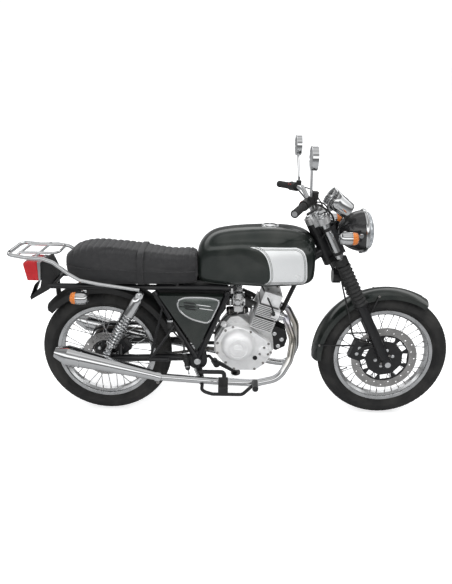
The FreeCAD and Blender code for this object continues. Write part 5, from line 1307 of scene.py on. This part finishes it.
def make_cables():
    """Control cables and hoses, looped from the bars round the head of the frame."""
    draft = bmesh.new()
    left, right = on_bar(1, 168), on_bar(-1, 168)
    runs = [([left + X * 34, (312, 190, 1096), (346, 104, 1052), (362, 50, 1004), (356, 34, 940),
              (330, 28, 880)], 3.2), ([right + X * 20, (300, -190, 1096), (340, -98, 1052),
                                       (358, -40, 1004), (352, -28, 940), (326, -22, 884)], 3.2),
            ([right + vec(24, 6, 4), (304, -180, 1106), (348, -84, 1060), (366, -24, 1004),
              (358, -12, 940), (330, -8, 884)], 3.2), ([vec(450, 56, 1042), (446, 58, 1000),
                                                        (430, 62, 940), (440, 66, 860),
                                                        (520, 70, 690), (606, 70, 520),
                                                        (668, 64, 360)], 3.4),
            ([vec(450, -56, 1042), (440, -50, 1004), (404, -36, 950), (374, -30, 890)], 3.4),
            ([left + X * 12 - Z * 12, (262, 150, 1080), (318, 60, 1016), (352, 24, 960),
              (340, 20, 900)], 3.8),]
    for points, thick in runs:
        hose(draft, points, thick, 10, 10)
    settle("control_cables", draft, RUBBER, "steering")
    draft = bmesh.new()
    line = [on_bar(-1, 196) + vec(30, 0, -6), (318, -160, 1080), (366, -90, 1036), (388, -58, 980),
            (404, -50, 900), (424, -50, 800), (450, -62, 680), (484, -82, 560), (506, -84, 470),
            (530, -80, 424)]
    hose(draft, line, 4.0, 12, 10)
    settle("front_brake_hose", draft, RUBBER, "steering")


def make_fork_trim():
    """Dust seals, clamps, axle nuts, yoke nuts and the mudguard's stays."""
    seals, stays, bright = drafts(3)
    spots = []
    for side in SIDES:
        ring_lathe(seals, [(18, 536), (30, 536), (31, 540), (30, 545), (18, 545)],
                   fork(0, 0, side * FORK_HALF), FORK_UP, 32)
        hoop(stays, 31, 34, 326, 331, fork(0, 0, side * FORK_HALF), FORK_UP, 32)
        lathe(bright, [(0, 800), (16, 800), (16, 803), (11, 806), (0, 806)],
              fork(0, 0, side * FORK_HALF), FORK_UP, 6)
        for angle, along, ahead in ((100, 250, 10), (168, 96, -14)):
            rim_place = FRONT + tilted(angle) * 330 + Y * side * 60.5
            foot = fork(along, ahead, side * 76)
            hose(stays, [foot, (foot + rim_place) / 2 + Y * side * 3, rim_place], 4, 10)
            spots.append((rim_place + Y * side * 2, Y * side))
        for along, ahead in ((14, -25), (36, 25)):
            spots.append((fork(along, ahead, side * FORK_HALF) + Y * side * 18, Y * side))
    settle("fork_seals", seals, RUBBER, "steering")
    settle("mudguard_stays", stays, BLACK, "steering")
    settle("fork_caps", bright, CHROME, "steering")
    heads("fork_bolts", spots, STEEL, 4.6, 3.4, 6, 1.3, body="steering")
    nut, rib = drafts(2)
    lathe(nut, [(0, 0), (19, 0), (19, 10), (12, 13), (0, 13)], fork(792, -45), FORK_UP, 6)
    settle("stem_nut", nut, CHROME, "steering")
    tube(rib, [FRONT + tilted(angle) * 348.4 for angle in range(62, 180, 4)], 3.4, 8)
    settle("mudguard_rib", rib, PAINT, "steering")


# Engine


BARREL_UP = vec(math.sin(BARREL_LEAN), 0, math.cos(BARREL_LEAN))
BARREL_AHEAD = vec(math.cos(BARREL_LEAN), 0, -math.sin(BARREL_LEAN))


def barrel(along, ahead=0.0, left=0.0):
    return BARREL_FOOT + BARREL_UP * along + BARREL_AHEAD * ahead + Y * left


COVER_EDGE = [(0.34, 0.04), (0.68, 0.04), (0.82, 0.15), (0.94, 0.34), (0.9, 0.49),
              (0.6, 0.69), (0.31, 0.77), (0.19, 0.71), (0.06, 0.49), (0.06, 0.32),
              (0.2, 0.15)]
LEFT_SCREWS = 7
COVER_FACE = 107.6
MOUNT_BOLTS = ((140, 440), (176, 410), (160, 376))
RESERVOIR = vec(-356, -128, 498)


def cover_place(share, side, out=0.0):
    return vec(-152 + share[0] * 290, side * (COVER_FACE + out), 266 + share[1] * 299)


def make_engine_trim():
    """Cover screws, dome rings, filler and inspection caps, head screws, the oil window, and the
    spark plug with its lead.
    """
    rings, caps = drafts(2)
    screws = []
    for side in SIDES:
        for share in COVER_EDGE if side < 0 else COVER_EDGE[:LEFT_SCREWS]:
            screws.append((cover_place(share, side, 0.4), Y * side))
    domes = {-1: (vec(-37, 0, 410), 82, 62), 1: (vec(62, 0, 402), 61.5, 31)}
    for side, (middle, radius, depth) in domes.items():
        edge = middle + Y * side * COVER_FACE
        ring_lathe(rings, [(radius - 2, -1), (radius + 3.2, -1), (radius + 3.2, 2.6),
                           (radius - 2, 4)], edge, Y * side, 72)
        hoop(rings, radius * 0.52, radius * 0.56, depth - 4, depth + 0.5, edge, Y * side, 56)
        lathe(caps, [(0, depth - 2), (radius * 0.3, depth - 2), (radius * 0.3, depth + 2),
                     (radius * 0.24, depth + 3.4), (0, depth + 3.4)], edge, Y * side, 40)
        block(caps, edge + Y * side * (depth + 4.2), (radius * 0.36, 2.6, 3), 0.6)
    lathe(caps, [(0, 0), (15, 0), (15, 9), (12, 12), (0, 12)], vec(-104, -86, 500),
          vec(-0.4, -0.55, 0.7), 24)
    filter_cap = vec(88, -COVER_FACE, 374)
    lathe(caps, [(0, -1), (27, -1), (27, 7), (24, 10), (9, 12), (0, 12)], filter_cap, -Y, 40)
    for number in range(3):
        spin = math.radians(90 + number * 120)
        screws.append((filter_cap + vec(math.cos(spin) * 22, -10, math.sin(spin) * 22), -Y))
    window = bmesh.new()
    lathe(window, [(0, -1), (11, -1), (11, 3), (9, 4), (0, 3.4)], vec(46, -COVER_FACE, 338), -Y,
          32)
    settle("oil_window", window, DIAL)
    for left in (-44, 44):
        for ahead in (-26, 26):
            screws.append((barrel(214.5, ahead, left * 0.95), BARREL_UP))
    settle("cover_rings", rings, POLISHED)
    settle("engine_caps", caps, POLISHED)
    heads("engine_screws", screws, STEEL, 4.4, 4.0, 6, 1.45)
    lead, plug = drafts(2)
    seat, out = barrel(118, 20, -92), vec(0.25, -0.8, 0.35)
    lathe(plug, [(0, -6), (9, -6), (9, 2), (5, 4), (5, 24), (0, 24)], seat, out, 6)
    cap = seat + out.normalized() * 16
    hose(lead, [cap, cap + vec(4, -16, 6), cap + vec(-6, -10, 40), (84, -60, 660), (60, -20, 700)],
         [7] * 12 + [4] * 21, 12)
    settle("spark_plug", plug, STEEL)
    settle("spark_lead", lead, RUBBER)


def make_hoses():
    """Breather hose and fuel hose behind the barrel."""
    draft = bmesh.new()
    hose(draft, [barrel(206, -30, 30), (70, 34, 672), (20, 40, 684), (-60, 44, 676),
                 (-110, 46, 640), (-128, 50, 600)], 7, 14)
    hose(draft, [(-120, 62, 540), (-136, 74, 500), (-130, 84, 440)], 5, 12)
    settle("breather_hose", draft, RUBBER)


def make_carburettors():
    """Twin carburettors: body, slide top, float bowl, idle screw, clamps and rubber stubs."""
    bodies, rubbers, bright = drafts(3)
    spots = []
    for side in SIDES:
        middle = vec(-38, side * 60, 612)
        port = barrel(120, -62, side * 60)
        hose(rubbers, [middle + X * 20, (middle + X * 30 + port) / 2, port], 20.5, 24, 4)
        tube(rubbers, [middle - X * 58, middle - X * 44, middle - X * 26], [24, 23, 21], 24)
        for place, facing in ((middle + X * 24, X), (port - X * 14, X), (middle - X * 34, -X)):
            hoop(bright, 20.4, 23.6, 0, 7, place, facing, 32)
        lathe(bodies, [(0, -30), (20, -30), (20, -22), (17, -19), (17, 17), (20, 20), (20, 26),
                       (0, 26)], middle, X, 32)
        block(bodies, middle + Z * 2, (38, 42, 36), 6)
        lathe(bodies, [(0, 12), (19, 12), (19, 30), (21, 31), (21, 35), (0, 35)], middle, Z, 32)
        block(bodies, middle - Z * 21, (52, 46, 4), 1.5)
        block(bodies, middle - Z * 37, (44, 38, 30), 8)
        ring_lathe(bright, [(6, 35), (20, 35), (20.6, 37), (20.6, 42), (17, 43.5), (6, 43.5)],
                   middle, Z, 24)
        disc(bright, 7, -58, -51, middle, Z, 6)
        lathe(bright, [(0, 20), (13, 20), (15, 22), (15, 25), (9, 26), (9, 29), (0, 29)],
              middle - X * 4 + Z * 2, Y * side, 28)
        lathe(bright, [(0, 18), (4, 18), (4, 34), (6, 34), (6, 38), (0, 38)], middle
              + vec(8, 0, -8), vec(0.2, side, -0.25), 12)
        hose(bright, [middle + vec(-16, side * 22, 4), middle + vec(-26, side * 27, 22), middle
                      + vec(-22, side * 28, 40)], 2.6, 8)
        spots += [(middle + vec(out, over, -19), Z) for out in (-21, 21) for over in (-18, 18)]
        spots += [(middle + vec(out, side * 22.5, up), Y * side) for out in (-13, 13)
                  for up in (-9, 14)]
    settle("carburettor_bodies", bodies, CASE, instead=["carburettors"])
    settle("carburettor_rubbers", rubbers, RUBBER)
    settle("carburettor_fittings", bright, CHROME)
    heads("carburettor_screws", spots, STEEL, 3.4, 2.4, 12, 1.2)


def make_starter():
    """Starter motor on the case behind the barrel, its bands and its lead."""
    start, end = vec(-96, -34, 549), vec(14, -34, 560)
    run = (end - start).normalized()
    motor, bands = drafts(2)
    lathe(motor, [(0, 2), (15, 2), (20, 6), (21, 12), (21, 92), (17, 98), (17, 108), (0, 108)],
          start, run, 32)
    for place in (14, 52, 86):
        hoop(bands, 20.8, 22.6, place, place + 5, start, run, 32)
    lathe(bands, [(0, 0), (5, 0), (5, 3), (3, 3), (3, 9), (0, 9)], start + run * 30 - Y * 21,
          -Y, 6)
    settle("starter_motor", motor, BLACK, slot="cast_alloy")
    settle("starter_bands", bands, STEEL)
    lead = bmesh.new()
    hose(lead, [start + run * 30 - Y * 29, (-72, -76, 552), (-104, -80, 530), (-128, -70, 480),
                (-150, -60, 440)], 3.6, 10)
    settle("starter_lead", lead, RUBBER)


def make_engine_mounts():
    """Black plates that carry the front of the case, with their through bolts."""
    draft = bmesh.new()
    outline = [(104, 462), (150, 474), (196, 452), (204, 416), (192, 372), (150, 350), (118, 366)]
    for left in (-46, 40):
        prism(draft, outline, left, left + 6)
    for ahead, up in MOUNT_BOLTS:
        tube(draft, [vec(ahead, -50, up), vec(ahead, 50, up)], 9, 16)
    settle("engine_mounts", draft, BLACK, bevel=0.8)
    heads("mount_bolts", [(vec(ahead, side * 50, up), Y * side) for side in SIDES for ahead,
                          up in MOUNT_BOLTS], CHROME, 8, 5, 6, 1.3)


def make_brake_master():
    """Rear brake's master cylinder behind the pivot, its pot, hoses and pedal spring."""
    draft, bright = drafts(2)
    foot, top = vec(-272, -158, 296), vec(-290, -156, 398)
    run = (top - foot).normalized()
    lathe(draft, [(0, 0), (9, 0), (12, 6), (12, 40), (15, 44), (15, 62), (11, 66), (11, 96),
                  (7, 102), (0, 102)], foot, run, 24)
    block(draft, foot + run * 56 + Y * 10, (34, 14, 18), 3)
    hose(draft, [foot + run * 100, (-296, -150, 440), (-330, -140, 470), (-352, -132, 500)], 4.2,
         10)
    lathe(draft, [(0, 0), (15, 0), (16, 4), (16, 34), (0, 34)], RESERVOIR, Z, 28)
    tube(bright, [foot - run * 26, foot], 3.4, 10)
    lathe(bright, [(0, 34), (17.4, 34), (17.4, 42), (14, 44), (0, 44)], RESERVOIR, Z, 28)
    for place in (18, 88):
        hoop(bright, 11.6, 14, place, place + 5, foot, run, 24)
    settle("brake_master", draft, RUBBER, slot="black_plastic")
    settle("brake_master_fittings", bright, CHROME)
    coil("pedal_spring", vec(-214, -154, 236), vec(-240, -152, 300), 6.0, 1.4, 15)


# Exhausts


def make_exhaust_trim():
    """Port flanges, silencer clamps, end caps and hanger brackets."""
    draft = bmesh.new()
    spots = []
    rise = vec(-432, 0, 106).normalized()
    for side in SIDES:
        port = barrel(120, 57.3, side * 78)
        ring_lathe(draft, [(17.4, 0), (27, 0), (27, 6), (21, 10), (21, 20), (17.4, 20)],
                   port + BARREL_AHEAD * 1.0, BARREL_AHEAD, 40)
        for out in (-1, 1):
            spots.append((port + BARREL_AHEAD * 7 + BARREL_UP * out * 24, BARREL_AHEAD))
        joint = vec(-395, side * 200, 277)
        hoop(draft, 20.8, 26, 6, 26, joint, rise, 40)
        block(draft, joint + rise * 16 - Z * 28, (10, 20, 12), 1.5)
        hoop(draft, 44.5, 47.6, 380, 386, joint, rise, 56)
        spots.append((joint + rise * 16 - Z * 28 + Y * side * 10, Y * side))
    settle("exhaust_trim", draft, CHROME)
    heads("exhaust_nuts", spots, STEEL, 5.5, 5, 6, 1.4)


# Rear end


def make_tail_lamp():
    """Red lens over a bright base, with its two screws."""
    def at(along, up):
        return (-958 - 84 * along, 742 + 92 * up)
    base, lens = drafts(2)
    prism(base, [at(0, 0.5), at(0.2, 0.51), at(0.2, -0.5), at(0.1, -0.5)], -62, 62)
    prism(lens, [at(0.2, 0.51), at(0.7, 0.54), at(0.96, 0.46), at(1, 0.34), at(0.84, -0.5),
                 at(0.2, -0.5)], -60.5, 60.5)
    settle("tail_lamp_base", base, CHROME, instead=["tail_lamp"], bevel=1.5)
    settle("tail_lamp_lens", lens, RED_LENS, bevel=4.0)
    heads("tail_lamp_screws", [(vec(-1024, left, 756), vec(-1, 0, 0.1)) for left in (-44, 44)],
          CHROME, 3, 1.6, 12, 1.1)


def make_plate():
    """Blank plate panel on its bracket, with reflector."""
    draft = bmesh.new()
    red = bmesh.new()
    turn = Matrix.Rotation(math.radians(24), 3, "Y")
    block(draft, vec(-1014, 0, 640), (2.4, 96, 74), 0.8, turn)
    block(red, vec(-1034, 0, 604), (5, 46, 16), 2, turn)
    settle("plate_panel", draft, PLASTIC)
    settle("rear_reflector", red, RED_LENS)


BADGE_EDGE = [(-318, 612), (-313, 636), (-288, 649), (-235, 652), (-175, 650), (-138, 642),
              (-130, 628), (-150, 580), (-176, 532), (-216, 534), (-262, 550), (-301, 578)]


def ringed(points, steps=5):
    """Smooth closed line through points."""
    count = len(points)
    line = flowing(points[-2:] + points + points[:2], steps)
    return line[2 * steps:(count + 2) * steps]


def make_side_badges():
    """Domed plate in each side panel: bright edge, three dark louvres and two bright strakes that
    are painted highlights, no lettering.
    """
    cast = caster("side_covers")
    rims, domes, slots = drafts(3)
    edge = [(place.x, place.z) for place in ringed([(x, 0, z) for x, z in BADGE_EDGE])]
    middle = (-222, 604)
    for side in SIDES:
        rows = []
        for share in (1.0, 0.97, 0.9, 0.75, 0.5, 0.25, 0.04):
            lift = 1.0 + 6.5 * (1 - share ** 4)
            rows.append([cast(middle[0] + (x - middle[0]) * share,
                              middle[1] + (z - middle[1]) * share, side, lift)
                         for x, z in edge])
        tube(rims, rows[0], 5.2, 12, closed=True, side=Y)
        grid(domes, rows)
        for number in range(3):
            line = [cast(-292 + number * 3 + step * 11, 630 - number * 15 - step * 1.2, side, 7.6)
                    for step in range(6)]
            tube(slots, line, [1.5] + [3.6] * 4 + [1.5], 8, side=Y)
        # Painted highlight: two chrome strakes laid on the dome where it shows only streaks of
        # reflected light.
        for number in range(2):
            line = [cast(-232 + number * 12 + step * 13, 620 - number * 18 - step * 1.6, side, 7.4)
                    for step in range(6)]
            tube(rims, line, [1.2] + [2.4] * 4 + [1.2], 8, side=Y)
    bmesh.ops.recalc_face_normals(domes, faces=domes.faces)
    settle("badge_rims_and_highlight_strakes", rims, CHROME)
    settle("badge_domes", domes, BADGE)
    settle("badge_louvres", slots, DIAL)


def make_peg_rubbers():
    """Broad ribbed rubbers on the rider's pegs."""
    draft = bmesh.new()
    for side in SIDES:
        block(draft, vec(-104, side * 248, 262), (38, 104, 34), 6)
        for index in range(10):
            block(draft, vec(-104, side * (203 + index * 10), 262), (45, 5.6, 39), 2.4)
    settle("peg_rubbers", draft, RUBBER)


CHAIN_LEFT = 68


def loop_points(spacing):
    """Chain line round both sprockets: points with headings, evenly spaced."""
    front = vec(-158, 0, 345)
    r_rear, r_front = 91.8, 43.5
    run = front - REAR
    tilt_up = math.atan2(run.z, run.x)
    spread = math.acos((r_rear - r_front) / run.length)
    steps, line = 400, []
    for start, end, middle, radius in (
            (tilt_up + spread, tilt_up + 2 * math.pi - spread, REAR, r_rear),
            (tilt_up - spread, tilt_up + spread, front, r_front)):
        for index in range(steps + 1):
            angle = start + (end - start) * index / steps
            line.append(middle + vec(math.cos(angle), 0, math.sin(angle)) * radius)
    line.append(line[0])
    total = sum((b - a).length for a, b in zip(line, line[1:]))
    count = int(round(total / spacing / 2)) * 2
    places, gone, index = [], 0.0, 0
    for link in range(count):
        want = total * link / count
        while gone + (line[index + 1] - line[index]).length < want:
            gone += (line[index + 1] - line[index]).length
            index += 1
        step = (line[index + 1] - line[index]).length or 1
        places.append(line[index] + (line[index + 1] - line[index]) * ((want - gone) / step))
    return places


def make_chain():
    """Roller chain, link by link: waisted plates inside and outside, rollers between."""
    plates, rollers = drafts(2)
    places = loop_points(15.9)
    count = len(places)
    for index, place in enumerate(places):
        after = places[(index + 1) % count]
        run = after - place
        ahead, up = run.normalized(), vec(-run.z, 0, run.x).normalized()
        outer = index % 2
        for side in SIDES:
            low = side * (4.7 if outer else 3.0)
            outline = []
            for end, middle in ((0, place), (1, after)):
                for step in range(5):
                    angle = math.pi / 2 + math.pi * step / 4 + (math.pi if end else 0)
                    outline.append(middle + (ahead * math.cos(angle) + up * math.sin(angle)) * 5.1)
            slab(plates, [point + Y * (CHAIN_LEFT + low) for point in outline],
                 [point + Y * (CHAIN_LEFT + low + side * 1.3) for point in outline])
        disc(rollers, 2.6, -5.9, 5.9, place + Y * CHAIN_LEFT, Y, 10)
        hoop(rollers, 2.6, 4.6, -2.9, 2.9, place + Y * CHAIN_LEFT, Y, 10)
    settle("chain_plates", plates, CHAIN_STEEL, instead=["chain"], sharp=25)
    settle("chain_rollers", rollers, CHAIN_STEEL)


def make_rear_trim():
    """Chain adjusters, axle nuts and the rear brake's hose."""
    draft = bmesh.new()
    spots = [(REAR + Y * side * 125, Y * side) for side in SIDES]
    heads("axle_nuts", spots, STEEL, 13, 8, 6, 1.25)
    for side in SIDES:
        end = REAR + Y * side * 112
        block(draft, end - X * 22, (16, 5, 30), 1)
        tube(draft, [end - X * 24, end - X * 42], 4, 10)
    settle("chain_adjusters", draft, STEEL)
    draft = bmesh.new()
    hose(draft, [(-590, -72, 410), (-540, -86, 440), (-470, -92, 420), (-400, -104, 376),
                 (-330, -110, 350), (-262, -112, 330), (-226, -120, 300)], 4, 10)
    settle("rear_brake_hose", draft, RUBBER)


def make_frame_trim():
    """Weld beads on the side frames and the pivot's nuts."""
    draft = bmesh.new()
    for side in SIDES:
        pivot = vec(PIVOT[0], side * 134, PIVOT[1])
        for ahead in (-445, -80):
            down = (pivot - vec(ahead, side * 92, 684)).normalized()
            ring_lathe(draft, [(13.6, 0), (15.6, 1.6), (13.6, 3.4)], pivot - down * 40, down, 24)
    settle("weld_beads", draft, BLACK)
    spots = [(vec(PIVOT[0], side * 152, PIVOT[1]), Y * side) for side in SIDES]
    heads("pivot_nuts", spots, CHROME, 12, 6, 6, 1.3)


def make_caliper_trim():
    """Bolts on the faces of the brake calipers."""
    for name, axle, reach, degrees, finish, radius, height, body in (
            ("front_caliper_bolts", FRONT, 146, 160, CHROME, 9, 5, "steering"),
            ("rear_caliper_bolts", REAR, 98, 38, STEEL, 6, 4, "root")):
        out = tilted(degrees)
        along = vec(-out.z, 0, out.x)
        heads(name, [(axle + out * reach + along * shift - Y * 76, -Y) for shift in (-16, 16)],
              finish, radius, height, 6, 1.3, body=body)


for make in (make_tank_panels, make_tank_seam, make_tank_cap, make_fuel_tap, make_seat,
             make_seat_trim):
    make()
make_tyre(FRONT, "front_wheel", "front_tyre", False)
make_tyre(REAR, "rear_wheel", "rear_tyre", True)
make_wheel_trim("front_wheel", FRONT, "front_wheel")
make_wheel_trim("rear_wheel", REAR, "rear_wheel")
make_shocks()
make_headlamp()
make_indicators("front_indicators", "steering",
                [((428, side * 195, 955), (428, side * 105.8, 955)) for side in SIDES], X)
make_indicators("rear_indicators", "root",
                [((-762, side * 165, 652), (-762, side * 72.3, 652)) for side in SIDES], -X)
for make in (make_clocks, make_grips, make_controls, make_mirror_glass, make_cables,
             make_fork_trim, make_engine_trim, make_hoses, make_carburettors, make_starter,
             make_engine_mounts, make_brake_master, make_exhaust_trim, make_tail_lamp, make_plate,
             make_side_badges, make_peg_rubbers, make_chain, make_rear_trim, make_frame_trim,
             make_caliper_trim):
    make()


# Stage


def make_stage():
    """Pale floor and backdrop, broad soft lamps and a plain world."""
    scene = bpy.context.scene
    scene.view_settings.view_transform = "Standard"
    look = Finish("pale_floor")
    seen = look.node("ShaderNodeLightPath", {})
    mirrored = look.node("ShaderNodeLightPath", {}, out=3)
    look.finish(Base_Color=look.blend(mirrored, grey(0.8), grey(0.34)), Roughness=0.95,
                Emission_Color=look.blend(seen, grey(0.0), grey(0.6)), Emission_Strength=1.0)
    mesh = bpy.data.meshes.new("floor")
    reach = 14
    mesh.from_pydata([(-reach, -reach, 0), (reach, -reach, 0), (reach, reach, 0),
                      (-reach, reach, 0)], [], [(0, 1, 2, 3)])
    mesh.materials.append(look.material)
    put("floor", mesh)

    def lamp(name, place, size, power, aim):
        light = bpy.data.lights.new(name, "AREA")
        light.shape = "RECTANGLE"
        light.size, light.size_y = size
        light.energy = power
        thing = put(name, light)
        thing.location = place
        thing.rotation_euler = (Vector(aim) - Vector(place)).to_track_quat("-Z", "Y").to_euler()
        thing.visible_glossy = False

    lamp("overhead", (0.2, -0.6, 4.2), (5, 4), 150, (0, 0, 0.5))
    lamp("near_side", (-1.2, -4.2, 2.4), (4, 2.4), 80, (0, 0, 0.6))
    lamp("far_side", (1.5, 4.0, 2.6), (4, 2.4), 60, (0, 0, 0.6))
    sky = Finish("studio", world=True)
    seen = sky.node("ShaderNodeLightPath", {})
    mirrored = sky.node("ShaderNodeLightPath", {}, out=3)
    ways = sky.axes(sky.node("ShaderNodeTexCoord", {}))
    studio = sky.node("ShaderNodeValToRGB", {"stops": [
        (0.0, grey(0.34)), (0.08, grey(0.2)), (0.2, grey(0.3)), (0.3, grey(2.1)),
        (0.52, grey(2.4)), (0.62, grey(0.6)), (0.78, grey(0.45)), (0.9, grey(1.6))]}, ways[2])
    broadside = sky.spread(abs(ways[1]), 0.2, 0.55, 0.55, 1.0)
    lit = sky.blend(mirrored, (0.9, 0.92, 0.95), sky.blend(broadside, grey(0.12), studio))
    sky.link(sky.shader.inputs["Color"], sky.blend(seen, lit, grey(1.9)))
    sky.shader.inputs["Strength"].default_value = 0.55
    scene.world = sky.material


make_stage()
